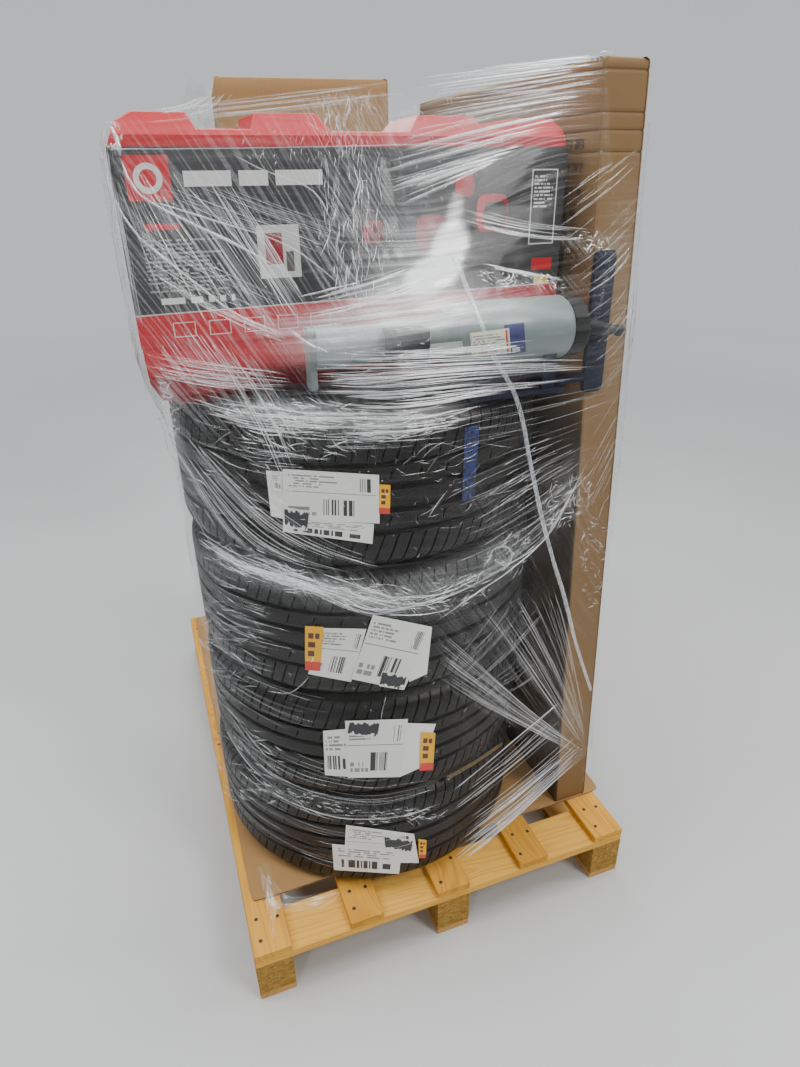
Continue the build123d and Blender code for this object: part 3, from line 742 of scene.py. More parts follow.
def build_tyre(i):
    z0, z1 = TYRE_Z[i], TYRE_Z[i + 1]
    zm, h = (z0 + z1) / 2, (z1 - z0) / 2
    cx, cy = TYRE_C[i]
    prof = tyre_profile(h)
    R = np.array([p[0] for p in prof])
    Z = np.array([p[1] for p in prof])
    kind = [p[2] for p in prof]
    w = h - 0.042
    pitches = 92
    pat = np.array([0.0, 0.335, 0.365, 0.455, 0.485, 0.75])
    ncol = pitches * len(pat)
    a = (np.arange(pitches)[:, None] + pat[None, :]).ravel() * (2 * math.pi / pitches)
    inslot = np.tile(np.array([0, 0, 1, 1, 0, 0], bool), pitches)
    nr = len(prof)
    A = np.tile(a, (nr, 1))
    RR = np.tile(R[:, None], (1, ncol)).astype(float)
    ZZ = np.tile(Z[:, None], (1, ncol)).astype(float)
    # the pattern slants: columns are turned with height, the same way at both
    # shoulders, by about one pitch over 60 mm
    turn = 0.95 * (2 * math.pi / pitches) * (Z / 0.060)
    turn = np.clip(turn, -2.2 * 2 * math.pi / pitches, 2.2 * 2 * math.pi / pitches)
    A = A + turn[:, None]
    az = np.abs(Z)
    outer_groove = 0.66 * w
    for j in range(nr):
        k = kind[j]
        if k in ("r", "h") and az[j] > outer_groove + 0.006:
            depth = 0.0052
            if k == "h":
                fade = np.clip((R[j] - (TYRE_R - 0.0125)) / 0.010, 0, 1)
                depth *= 0.45 + 0.55 * fade
            RR[j, inslot] -= depth
        elif k == "r" and 0.22 * w + 0.010 < az[j] < outer_groove - 0.012:
            # short nicks in the intermediate ribs, every second pitch
            sel = inslot & (np.repeat(np.arange(pitches) % 2 == (0 if Z[j] > 0 else 1), len(pat)))
            if az[j] > 0.40 * w:
                RR[j, sel] -= 0.0042
    # sidewall: fine ribs in a band, plus a slight waviness of the stored tyre
    for j in range(nr):
        if kind[j] == "s" and BEAD_R + 0.030 < R[j] < BEAD_R + 0.042:
            rib = (np.arange(ncol) % 4 < 2) * 0.0006
            ZZ[j] -= np.sign(Z[j]) * rib
    soft = 0.0006 * np.sin(2 * A + i) + 0.0005 * np.sin(5 * A + 2 * i)
    RR = RR - np.abs(soft) * (RR > TYRE_R - 0.02)
    X = cx + RR * np.cos(A)
    Y = cy + RR * np.sin(A)
    V = np.stack([X, Y, zm + ZZ], -1).reshape(-1, 3)
    faces = [tuple(q) for q in grid_faces(ncol, nr, wrap_u=True)]
    # inside of the carcass, a plain turned lining that follows the CAD section
    inner = [
        (BEAD_R, h - 0.032), (BEAD_R + 0.014, h - 0.022), (BEAD_R + 0.024, h - 0.011), (BEAD_R + 0.044, h - 0.010),
        (TYRE_R - 0.026, h - 0.018), (TYRE_R - 0.015, h - 0.032), (TYRE_R - 0.013, h - 0.050),
        (TYRE_R - 0.013, -(h - 0.050)), (TYRE_R - 0.015, -(h - 0.032)), (TYRE_R - 0.026, -(h - 0.018)),
        (BEAD_R + 0.044, -(h - 0.010)), (BEAD_R + 0.024, -(h - 0.011)), (BEAD_R + 0.014, -(h - 0.022)), (BEAD_R, -(h - 0.032)),
    ]
    base = len(V)
    # one column a pitch is enough inside; the joint at the beads is one ring of fans
    step = len(pat)
    ic = pitches
    rows_in = []
    ang = a[::step]
    for r, z in inner:
        rows_in.append(np.stack([cx + r * np.cos(ang), cy + r * np.sin(ang), np.full(ic, zm + z)], -1))
    V = np.concatenate([V, np.concatenate(rows_in)])
    nin = len(inner)
    faces += [tuple(q) for q in grid_faces(ic, nin, wrap_u=True, base=base, flip=False)]
    top_out = (nr - 1) * ncol
    # columns at the bead rows were turned; find the nearest inner column for each
    for row_base, inner_row, flip in ((top_out, 0, False), (0, nin - 1, True)):
        t = turn[-1] if row_base else turn[0]
        shift = t / (2 * math.pi / pitches)
        for c in range(ncol):
            u0 = (c // step + pat[c % step] + shift)
            c2 = (c + 1) % ncol
            u1 = (c2 // step + pat[c2 % step] + shift)
            k0 = int(math.floor(u0 + 0.5)) % ic
            k1 = int(math.floor(u1 + 0.5)) % ic
            o0, o1 = row_base + c, row_base + c2
            i0, i1 = base + inner_row * ic + k0, base + inner_row * ic + k1
            f = (o0, o1, i0) if k0 == k1 else (o0, o1, i1, i0)
            faces.append(f[::-1] if flip else f)
    ob = mesh_piece(f"tyre_tread_{i + 1}", V, faces, [rubber(f"rubber_{i + 1}", i + 1)])
    auto_smooth(ob, 38)
    settle(ob, [f"tyre_{i + 1}"])
    return ob


for i in range(4):
    build_tyre(i)


# ------------------------------------------------------------------- labels
def on_cylinder(uv, i, r):
    """Where rays through picture points meet tyre i's tread at radius r."""
    cx, cy = TYRE_C[i]
    d = rays(uv)
    o = EYE
    a = d[:, 0] ** 2 + d[:, 1] ** 2
    ox, oy = o[0] - cx, o[1] - cy
    b = 2 * (ox * d[:, 0] + oy * d[:, 1])
    c = ox * ox + oy * oy - r * r
    t = (-b - np.sqrt(np.maximum(b * b - 4 * a * c, 0))) / (2 * a)
    return o + t[:, None] * d


def paper(name, draw, tone=(0.80, 0.80, 0.76)):
    s = Shader(name)
    u, v, _ = s.xyz(s.uv())
    n = s.noise(s.obj(), scale=160.0, detail=3.0)
    crease = s.noise(s.map(s.obj(), scale=(1, 1, 0.6)), scale=30.0, detail=4.0)
    col = s.mix(n, tone, tuple(c * 0.92 for c in tone))
    col = draw(s, col, u, v)
    s.set(Base_Color=col, Roughness=0.52)
    s.set(Normal=s.bump(s.math("ADD", crease, s.math("MULTIPLY", n, 0.25)), 0.5, 0.0016))
    return s.m


INK = (0.030, 0.030, 0.034)
GREY = (0.24, 0.24, 0.24)


def stamp(s, col, mask, ink):
    return s.mix(mask, col, ink)


def big_sheet(seed):
    def draw(s, col, u, v):
        col = stamp(s, col, s.lines(u, v, (0.05, 0.66, 0.62, 0.93), 5, 30, seed + 0.3), GREY)
        col = stamp(s, col, s.lines(u, v, (0.05, 0.10, 0.40, 0.30), 2, 14, seed + 1.3, 0.7), GREY)
        col = stamp(s, col, s.barcode(u, v, (0.42, 0.12, 0.74, 0.44), 34, seed + 2.0), INK)
        col = stamp(s, col, s.barcode(u, v, (0.80, 0.62, 0.93, 0.90), 16, seed + 4.0), INK)
        col = stamp(s, col, s.rect(u, v, (0.02, 0.56, 0.97, 0.575)), GREY)
        return col
    return draw


def ticket(seed, bars=True):
    def draw(s, col, u, v):
        col = stamp(s, col, s.lines(u, v, (0.08, 0.56, 0.92, 0.90), 4, 18, seed), GREY)
        if bars:
            col = stamp(s, col, s.barcode(u, v, (0.12, 0.14, 0.66, 0.44), 26, seed + 2.0), INK)
            col = stamp(s, col, s.rect(u, v, (0.74, 0.16, 0.86, 0.38)), INK)
        return col
    return draw


def yellow_tag(seed):
    def draw(s, col, u, v):
        col = stamp(s, col, s.rect(u, v, (0.0, 0.0, 1.0, 0.20)), (0.62, 0.045, 0.03))
        col = stamp(s, col, s.lines(u, v, (0.18, 0.32, 0.86, 0.92), 3, 7, seed, 0.62), (0.10, 0.03, 0.02))
        return col
    return draw


def marker(seed):
    """Swipes of a broad black marker that blot out a line of print."""
    def draw(s, col, u, v):
        w = s.noise(s.vec(s.math("MULTIPLY", u, 7.0), s.math("MULTIPLY", v, 2.0), seed), scale=1.0, detail=3.0)
        m = s.step(s.math("SUBTRACT", s.math("ADD", w, 0.28), s.math("ABSOLUTE", s.math("MULTIPLY", s.math("SUBTRACT", v, 0.5), 1.25))), 0.30, 0.34)
        return stamp(s, col, m, INK)
    return draw


MAT_SHEET = [paper(f"paper_sheet_{k}", big_sheet(k * 3.1)) for k in range(4)]
MAT_TICK = [paper(f"paper_ticket_{k}", ticket(k * 5.3 + 1)) for k in range(3)]
MAT_TAG = paper("paper_yellow", yellow_tag(2.0), (0.86, 0.43, 0.002))
MAT_BLANK = paper("paper_blank", lambda s, c, u, v: c, (0.83, 0.83, 0.80))
MAT_MARK = [paper(f"paper_marked_{k}", marker(k * 2.7 + 1)) for k in range(2)]

MAT_STRIPE = paper("tread_stripe_yellow", lambda s, c, u, v: s.mix(s.step(s.noise(s.obj(), scale=220.0, detail=3.0), 0.40, 0.66), c, (0.010, 0.009, 0.008)), (0.150, 0.098, 0.024))
MAT_BLUE = paper("tread_stripe_blue", lambda s, c, u, v: s.mix(s.step(s.noise(s.obj(), scale=160.0, detail=3.0), 0.45, 0.60), c, (0.010, 0.010, 0.016)), (0.010, 0.022, 0.130))

# stickers per tyre: (corners in the picture: top left, top right, bottom right,
# bottom left), layer and finish
STICKERS = {
    3: [
        (((266, 470.5), (292, 472.5), (292, 521), (271, 516)), 0, MAT_BLANK),
        (((283, 469), (379, 475), (379.6, 523.5), (283, 519)), 1, MAT_SHEET[0]),
        (((283, 518), (374, 524), (372.5, 544), (283, 531.6)), 2, MAT_TICK[0]),
        (((379.5, 484.5), (390.5, 485), (390, 514), (379, 513.5)), 2, MAT_TAG),
        (((284, 507), (309, 511), (307, 531), (285, 527)), 3, MAT_MARK[0]),
        (((271, 472), (281, 473), (282, 492), (273, 490)), 3, MAT_TICK[2]),
        (((465, 428), (480, 424), (474, 498), (462, 501)), 0, MAT_BLUE),
    ],
    2: [
        (((321, 628), (366.5, 629), (351, 682), (308, 674)), 0, MAT_SHEET[1]),
        (((305, 626), (323.6, 627), (320, 671), (305, 670)), 1, MAT_TAG),
        (((373, 615), (432, 627), (404, 690), (351, 679)), 2, MAT_SHEET[2]),
        (((414, 628), (432, 627.5), (427, 674), (409, 682)), 1, MAT_BLANK),
        (((383, 671), (407, 676), (403, 690), (379, 686)), 3, MAT_MARK[1]),
    ],
    1: [
        (((323, 731), (347, 729), (350, 777), (325, 775)), 0, MAT_TICK[1]),
        (((345, 721), (408, 719), (400, 777), (348, 778)), 1, MAT_SHEET[3]),
        (((404, 723), (436, 724), (420, 768), (400, 777)), 0, MAT_BLANK),
        (((421, 732), (435.5, 733), (433, 770), (419.5, 771)), 2, MAT_TAG),
        (((350, 721), (380, 722), (377, 737), (347, 735)), 3, MAT_MARK[0]),
        (((447, 776), (474, 761), (475, 764.5), (448, 780)), 0, MAT_STRIPE),
        (((474, 761), (502, 742), (503, 745), (475, 764.5)), 0, MAT_STRIPE),
    ],
    0: [
        (((346, 825), (414, 834), (419, 863), (344, 862)), 1, MAT_SHEET[0]),
        (((332, 844), (402, 850), (399, 874), (334, 870)), 2, MAT_TICK[0]),
        (((418.5, 839), (426.5, 840), (426, 858), (419, 858.5)), 1, MAT_TAG),
        (((384, 836), (413, 840), (411, 852), (386, 849)), 3, MAT_MARK[1]),
    ],
}


def build_labels(i):
    verts, faces, uvs, fm, mats = [], [], [], [], []
    for n, (q, layer, mat) in enumerate(STICKERS[i]):
        nu, nv = 22, 14
        if mat not in mats:
            mats.append(mat)
        mi = mats.index(mat)
        q = np.array(q, float)
        s, t = np.meshgrid(np.linspace(0, 1, nu), np.linspace(0, 1, nv))
        s, t = s.ravel(), t.ravel()
        uv = (
            ((1 - s) * (1 - t))[:, None] * q[0] + (s * (1 - t))[:, None] * q[1]
            + (s * t)[:, None] * q[2] + ((1 - s) * t)[:, None] * q[3]
        )
        lift = 0.0004 + 0.00045 * layer
        rim = np.minimum(np.minimum(s, 1 - s), np.minimum(t, 1 - t))
        curl = np.clip(0.16 - rim, 0, 1) / 0.16 * 0.0011 * (fbm(s * 3 + n, t * 3 + i, 40 + n) - 0.2)
        ripple = 0.0006 * (fbm(s * 5 + n * 3, t * 4, 60 + n) - 0.3)
        r = TYRE_R + lift + np.clip(curl + ripple, 0, 0.002)
        p = on_cylinder(uv, i, r)
        c = np.array([TYRE_C[i][0], TYRE_C[i][1]])
        out = p[:, :2] - c
        out /= np.linalg.norm(out, axis=1)[:, None]
        back = p.copy()
        back[:, :2] -= out * 0.00022
        base = len(verts)
        verts += [tuple(v) for v in p] + [tuple(v) for v in back]
        uvs += [(a, 1 - b) for a, b in zip(s, t)] * 2
        g = [tuple(f) for f in grid_faces(nu, nv, base=base, flip=True)]
        g += [tuple(f) for f in grid_faces(nu, nv, base=base + nu * nv)]
        ring = list(range(nu)) + [nu - 1 + nu * j for j in range(1, nv)] + \
               [nu * (nv - 1) + j for j in range(nu - 2, -1, -1)] + [nu * j for j in range(nv - 2, 0, -1)]
        m = nu * nv
        for a, b in zip(ring, ring[1:] + ring[:1]):
            g.append((base + a, base + b, base + m + b, base + m + a))
        faces += g
        fm += [mi] * len(g)
    ob = mesh_piece(f"tread_stickers_{i + 1}", verts, faces, mats, uv=uvs, face_mat=fm)
    auto_smooth(ob, 40)
    settle(ob, [f"tyre_label_{i + 1}"])


for i in range(4):
    build_labels(i)

# ------------------------------------------------------------------- case
RED_A, RED_B = (0.56, 0.016, 0.022), (0.47, 0.012, 0.018)
# the case's lowest part is darkened as painted shade
MAT_RED = moulded("case_red_plastic", RED_A, RED_B, rough=0.30, grain=1500.0, depth=0.18, dirt=0.08, shade_from_z=min(c[2] for c in NODES["tool_case"].bound_box))
soften(paint_node("tool_case", MAT_RED), 0.0045, 3)


def sleeve_material():
    """Printed card sleeve: charcoal panel over a red band, plain bars, boxes and
    a few overlapping rounded shapes."""
    s = Shader("sleeve_print")
    x, y, z = s.xyz(s.obj())
    lo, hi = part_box("case_sleeve")
    mott = s.noise(s.obj(), scale=5.0, detail=3.0)
    char = s.mix(mott, (0.030, 0.030, 0.033), (0.045, 0.044, 0.047))
    # soft lighter smoke drifting across the panel, as printed shading
    smoke = s.step(s.noise(s.map(s.obj(), scale=(1.0, 1.0, 2.2)), scale=4.2, detail=3.0), 0.45, 0.75)
    char = s.mix(s.math("MULTIPLY", smoke, 0.22), char, (0.09, 0.09, 0.095))
    red = s.mix(mott, (0.50, 0.014, 0.020), (0.42, 0.012, 0.018))
    # the band's upper edge slopes a little
    edge = s.math("ADD", 1.2335, s.math("MULTIPLY", s.math("ADD", x, 0.41), 0.012))
    col = s.mix(s.math("LESS_THAN", z, edge), char, red)
    col = s.mix(s.math("MULTIPLY", s.math("LESS_THAN", s.math("ABSOLUTE", s.math("SUBTRACT", z, edge)), 0.0009), 0.8), col, (0.6, 0.58, 0.56))
    white = (0.62, 0.62, 0.61)
    # left: a red square with a white ring in it, and three plain white bars
    col = stamp(s, col, s.rect(x, z, (-0.392, 1.372, -0.338, 1.424)), (0.52, 0.016, 0.022))
    dx, dz = s.math("SUBTRACT", x, -0.365), s.math("SUBTRACT", z, 1.398)
    rad = s.math("SQRT", s.math("ADD", s.math("MULTIPLY", dx, dx), s.math("MULTIPLY", dz, dz)))
    col = stamp(s, col, s.math("MULTIPLY", s.math("GREATER_THAN", rad, 0.0105), s.math("LESS_THAN", rad, 0.0175)), white)
    for x0, x1 in ((-0.322, -0.262), (-0.252, -0.214), (-0.204, -0.140)):
        col = stamp(s, col, s.rect(x, z, (x0, 1.388, x1, 1.406)), white)
    # small print and panels
    col = stamp(s, col, s.rect(x, z, (-0.378, 1.338, -0.334, 1.346)), (0.50, 0.016, 0.022))
    col = stamp(s, col, s.lines(x, z, (-0.384, 1.262, -0.276, 1.330), 13, 38, 1.0, 0.40), (0.27, 0.27, 0.27))
    col = stamp(s, col, s.rect(x, z, (-0.236, 1.272, -0.178, 1.340)), (0.50, 0.50, 0.49))
    col = stamp(s, col, s.rect(x, z, (-0.226, 1.290, -0.202, 1.330)), (0.26, 0.018, 0.026))
    col = stamp(s, col, s.rect(x, z, (-0.198, 1.280, -0.187, 1.306)), (0.10, 0.09, 0.09))
    col = stamp(s, col, s.frame(x, z, (0.182, 1.300, 0.226, 1.404), 0.0018), white)
    col = stamp(s, col, s.lines(x, z, (0.187, 1.352, 0.221, 1.398), 9, 16, 2.0, 0.5), white)
    col = stamp(s, col, s.rect(x, z, (0.190, 1.262, 0.226, 1.280)), (0.50, 0.016, 0.022))
    col = stamp(s, col, s.rect(x, z, (0.196, 1.240, 0.222, 1.254)), (0.70, 0.47, 0.05))
    col = stamp(s, col, s.lines(x, z, (-0.372, 1.246, -0.232, 1.256), 1, 18, 4.0, 0.8), white)
    # red band: a row of small square frames, and dashes further along
    for k in range(5):
        x0 = -0.362 + k * 0.048
        col = stamp(s, col, s.frame(x, z, (x0, 1.202, x0 + 0.030, 1.222), 0.0014), (0.60, 0.46, 0.46))
    col = stamp(s, col, s.lines(x, z, (0.02, 1.203, 0.20, 1.221), 2, 26, 6.0, 0.55), (0.60, 0.46, 0.46))
    # right half: overlapping round forms in dark red and near black
    for k, (px, pz, pr, c) in enumerate((
        (0.055, 1.345, 0.052, (0.018, 0.017, 0.018)),
        (0.020, 1.322, 0.024, (0.20, 0.014, 0.020)),
        (0.118, 1.346, 0.026, (0.26, 0.014, 0.020)),
        (0.123, 1.343, 0.019, (0.026, 0.025, 0.026)),
        (0.072, 1.384, 0.015, (0.30, 0.016, 0.022)),
        (-0.075, 1.318, 0.034, (0.020, 0.019, 0.020)),
        (-0.070, 1.326, 0.016, (0.16, 0.014, 0.020)),
    )):
        ax, az = s.math("SUBTRACT", x, px), s.math("SUBTRACT", z, pz)
        rr = s.math("POWER", s.math("ADD", s.math("POWER", s.math("ABSOLUTE", ax), 4.0), s.math("POWER", s.math("ABSOLUTE", az), 4.0)), 0.25)
        m = s.math("SUBTRACT", 1.0, s.step(rr, pr - 0.001, pr + 0.001))
        shade = s.step(s.math("ADD", ax, s.math("MULTIPLY", az, -0.8)), -pr, pr)
        col = stamp(s, col, m, s.mix(shade, tuple(min(1, q * 1.9 + 0.015) for q in c), c))
    # the two ends and the back are plain: the print stops 12 mm round the edge
    front = s.math("LESS_THAN", y, lo.y + 0.012)
    col = s.mix(front, s.mix(s.math("LESS_THAN", z, 1.2335), char, red), col)
    wear = s.step(s.noise(s.obj(), scale=70.0, detail=4.0, rough=0.7), 0.66, 0.78)
    col = s.mix(s.math("MULTIPLY", wear, 0.10), col, (0.45, 0.43, 0.42))
    s.set(Base_Color=col, Roughness=s.math("ADD", 0.33, s.math("MULTIPLY", mott, 0.15)))
    fine = s.noise(s.obj(), scale=60.0, detail=3.0)
    s.set(Normal=s.bump(s.math("ADD", mott, s.math("MULTIPLY", fine, 0.3)), 0.25, 0.002))
    return s.m


soften(paint_node("case_sleeve", sleeve_material()), 0.0004, 1)

# ------------------------------------------------------------------ machine
MAT_PAINT = moulded("machine_paint_grey", (0.168, 0.214, 0.206), (0.142, 0.184, 0.178), rough=0.34, grain=900.0, depth=0.12)
MAT_BLACK = moulded("black_moulding", (0.012, 0.012, 0.013), (0.018, 0.018, 0.019), rough=0.50, grain=1400.0, depth=0.25, dirt=0.05, sheen=0.2)
MAT_NAVY = moulded("navy_powder", (0.0050, 0.0075, 0.024), (0.0040, 0.0060, 0.018), rough=0.46, grain=1700.0, depth=0.3, dirt=0.08, sheen=0.3)
for nm, mt in (("motor_body", MAT_PAINT), ("motor_collar", MAT_BLACK), ("motor_spout", MAT_BLACK),
               ("terminal_box", MAT_BLACK), ("motor_lever", MAT_PAINT), ("bracket", MAT_NAVY)):
    ob = paint_node(nm, mt)
    soften(ob, 0.0014, 2)



def on_machine(uv, r):
    """Where rays through picture points meet the machine's round body."""
    d = rays(uv)
    oy, oz = EYE[1] + 0.505, EYE[2] - 1.190
    a = d[:, 1] ** 2 + d[:, 2] ** 2
    b = 2 * (oy * d[:, 1] + oz * d[:, 2])
    c = oy * oy + oz * oz - r * r
    t = (-b - np.sqrt(np.maximum(b * b - 4 * a * c, 0))) / (2 * a)
    return EYE + t[:, None] * d


def machine_sticker(name, corners, draw, tone, lift):
    """A label stuck round the body, drawn between four picture points."""
    q = np.array(corners, float)
    nu, nv = 24, 20
    s, t = np.meshgrid(np.linspace(0, 1, nu), np.linspace(0, 1, nv))
    s, t = s.ravel(), t.ravel()
    uv = (((1 - s) * (1 - t))[:, None] * q[0] + (s * (1 - t))[:, None] * q[1]
          + (s * t)[:, None] * q[2] + ((1 - s) * t)[:, None] * q[3])
    ripple = 0.0004 * (fbm(s * 4, t * 3, 301) - 0.3)
    outer = on_machine(uv, 0.0464 + lift + np.clip(ripple, 0, 0.001))
    inner = on_machine(uv, 0.0462 + lift)
    n = nu * nv
    f = [tuple(k) for k in grid_faces(nu, nv, flip=True)] + [tuple(k) for k in grid_faces(nu, nv, base=n)]
    ring = list(range(nu)) + [nu - 1 + nu * j for j in range(1, nv)] + \
           [nu * (nv - 1) + j for j in range(nu - 2, -1, -1)] + [nu * j for j in range(nv - 2, 0, -1)]
    for a, b in zip(ring, ring[1:] + ring[:1]):
        f.append((a, b, n + b, n + a))
    ob = mesh_piece(name, np.concatenate([outer, inner]), f, [paper(name + "_print", draw, tone)],
                    uv=np.tile(np.stack([s, 1 - t], 1), (2, 1)))
    auto_smooth(ob, 40)
    return settle(ob)


def rating_print(s, col, u, v):
    col = stamp(s, col, s.lines(u, v, (0.06, 0.10, 0.94, 0.90), 7, 15, 3.0, 0.5), GREY)
    col = stamp(s, col, s.frame(u, v, (0.02, 0.03, 0.98, 0.97), 0.012), GREY)
    return stamp(s, col, s.rect(u, v, (0.90, 0.06, 0.95, 0.94)), (0.42, 0.03, 0.03))


machine_sticker("machine_label", ((470, 333), (509, 328), (511, 353), (472, 357)), rating_print, (0.62, 0.62, 0.50), 0.0004)
machine_sticker("machine_label_blue", ((504, 325), (524, 322.5), (526, 352), (507, 355)), lambda s, c, u, v: stamp(s, c, s.rect(u, v, (0.30, 0.06, 0.70, 0.20)), (0.45, 0.50, 0.55)), (0.020, 0.028, 0.120), 0.0)
machine_sticker("machine_label_pale", ((421, 345), (462, 341), (464, 354), (423, 358)), lambda s, c, u, v: stamp(s, c, s.frame(u, v, (0.04, 0.10, 0.96, 0.90), 0.03), (0.30, 0.31, 0.31)), (0.42, 0.44, 0.43), 0.0)

# ------------------------------------------------------------------ cartons
def carton(name, node, bottom, top, z0, z1, mats, seed, radius=0.004, bulge=0.004, nper=150, nz=120, creases=(), dome=0.0):
    """A closed carton between two level quads (counter-clockwise), with soft
    arrises and panels that have taken a little shape."""
    bottom, top = np.array(bottom, float), np.array(top, float)
    L = [np.linalg.norm(bottom[(k + 1) % 4] - bottom[k]) for k in range(4)]
    tot = sum(L)
    params = []
    for k in range(4):
        n = max(10, int(nper * L[k] / tot))
        t = np.linspace(0, 1, n, endpoint=False)
        e = radius / L[k]
        t = np.unique(np.concatenate([t, [e * 0.35, e, 1 - e, 1 - e * 0.35]]))
        params += [(k, float(x)) for x in t]
    zt = np.linspace(0, 1, nz)
    e = radius / (z1 - z0)
    near = [(zc + d - z0) / (z1 - z0) for zc in creases for d in (-0.006, -0.0028, -0.0012, 0.0, 0.0012, 0.0028, 0.006)]
    zt = np.unique(np.concatenate([zt, [e * 0.35, e, 1 - e, 1 - e * 0.35], near]))
    ks = np.array([k for k, _ in params])
    ts = np.array([t for _, t in params])
    Ls = np.array(L)[ks]
    rows = []
    for f in zt:
        q = bottom * (1 - f) + top * f
        z = z0 + (z1 - z0) * f
        dz = min(f, 1 - f) * (z1 - z0)
        inset_z = 0.0
        if dz < radius:
            inset_z = radius - math.sqrt(max(radius**2 - (radius - dz) ** 2, 0))
        pa, pb = q[ks], q[(ks + 1) % 4]
        d = (pb - pa) / np.linalg.norm(pb - pa, axis=1)[:, None]
        nrm = np.stack([d[:, 1], -d[:, 0]], 1)
        dc = np.minimum(ts, 1 - ts) * Ls
        ins = np.where(dc < radius, (radius - np.sqrt(np.maximum(radius**2 - (radius - dc) ** 2, 0))) * 0.72, 0.0)
        sl = ts * Ls
        low = np.sin(math.pi * ts) * math.sin(math.pi * f)
        amp = bulge * low * (fbm(sl * 3.1 + ks * 9.0, np.full(len(sl), z * 2.6), seed) - 0.72)
        fine = 0.0009 * (fbm(sl * 17 + ks * 5.0, np.full(len(sl), z * 15.0), seed + 5) - 0.5) * np.minimum(1.0, dc / 0.02)
        groove = sum(0.0013 * math.exp(-((z - zc) / 0.0016) ** 2) for zc in creases)
        p = pa + (pb - pa) * ts[:, None] + nrm * (amp + fine - ins - inset_z - groove - 0.0006)[:, None]
        rows.append([(x, y, z) for x, y in p])
    nper = len(params)
    verts = [v for row in rows for v in row]
    faces = [tuple(q) for q in grid_faces(nper, len(rows), wrap_u=True)]
    for ring_i, zc, flip in ((0, z0, True), (len(rows) - 1, z1, False)):
        prev = ring_i * nper
        ring = np.array(rows[ring_i])
        cen = ring.mean(0)
        for sh in (0.985, 0.93, 0.84, 0.72, 0.5, 0.25):
            base = len(verts)
            new = cen + (ring - cen) * sh
            sag = (-0.0012 if not flip else 0.0006) * (1 - sh) + (0.0 if flip else dome * (1 - sh * sh))
            verts += [(x, y, z + sag) for x, y, z in new]
            for k in range(nper):
                a0, a1 = prev + k, prev + (k + 1) % nper
                b0, b1 = base + k, base + (k + 1) % nper
                f = (a0, a1, b1, b0)
                faces.append(f[::-1] if flip else f)
            prev = base
        faces.append(tuple(prev + k for k in (range(nper - 1, -1, -1) if flip else range(nper))))
    ob = mesh_piece(name, verts, faces, mats)
    auto_smooth(ob, 40)
    settle(ob, [node])
    return ob


def patch(name, corners, mat, off=0.0008, thick=0.0003, nu=8, nv=8, uv=True, slot="kraft_card", wave=0.0):
    """A thin flat strip or sticker on a panel. corners: 4 world points in order,
    counter-clockwise seen from outside."""
    c = np.array(corners, float)
    nrm = np.cross(c[1] - c[0], c[3] - c[0])
    nrm /= np.linalg.norm(nrm)
    s, t = np.meshgrid(np.linspace(0, 1, nu), np.linspace(0, 1, nv))
    s, t = s.ravel(), t.ravel()
    p = (((1 - s) * (1 - t))[:, None] * c[0] + (s * (1 - t))[:, None] * c[1]
         + (s * t)[:, None] * c[2] + ((1 - s) * t)[:, None] * c[3])
    w = wave * (fbm(s * 6, t * 6, 77) - 0.3)
    outer = p + nrm * (off + thick + np.clip(w, 0, 1))[:, None]
    inner = p + nrm * off
    v = np.concatenate([outer, inner])
    n = nu * nv
    f = [tuple(q) for q in grid_faces(nu, nv)] + [tuple(q) for q in grid_faces(nu, nv, base=n, flip=True)]
    ring = list(range(nu)) + [nu - 1 + nu * j for j in range(1, nv)] + \
           [nu * (nv - 1) + j for j in range(nu - 2, -1, -1)] + [nu * j for j in range(nv - 2, 0, -1)]
    for a, b in zip(ring, ring[1:] + ring[:1]):
        f.append((a, a + n, b + n, b))
    ob = mesh_piece(name, v, f, [mat], uv=np.tile(np.stack([s, t], 1), (2, 1)))
    auto_smooth(ob, 40)
    return settle(ob)


LOAD_Z = 0.131
TX0, TX1, TY0, TY1, TTOP = 0.299, 0.377, -0.490, 0.205, 1.542
TLX, TLY = -0.041, 0.028
CREASES = []
for v_px in (68.5, 112.0, 130.0, 152.0):
    d_ = rays(np.array([[620.0, v_px]]))[0]
    CREASES.append(float(EYE[2] + (TY0 + TLY * 0.97 - EYE[1]) / d_[1] * d_[2]))


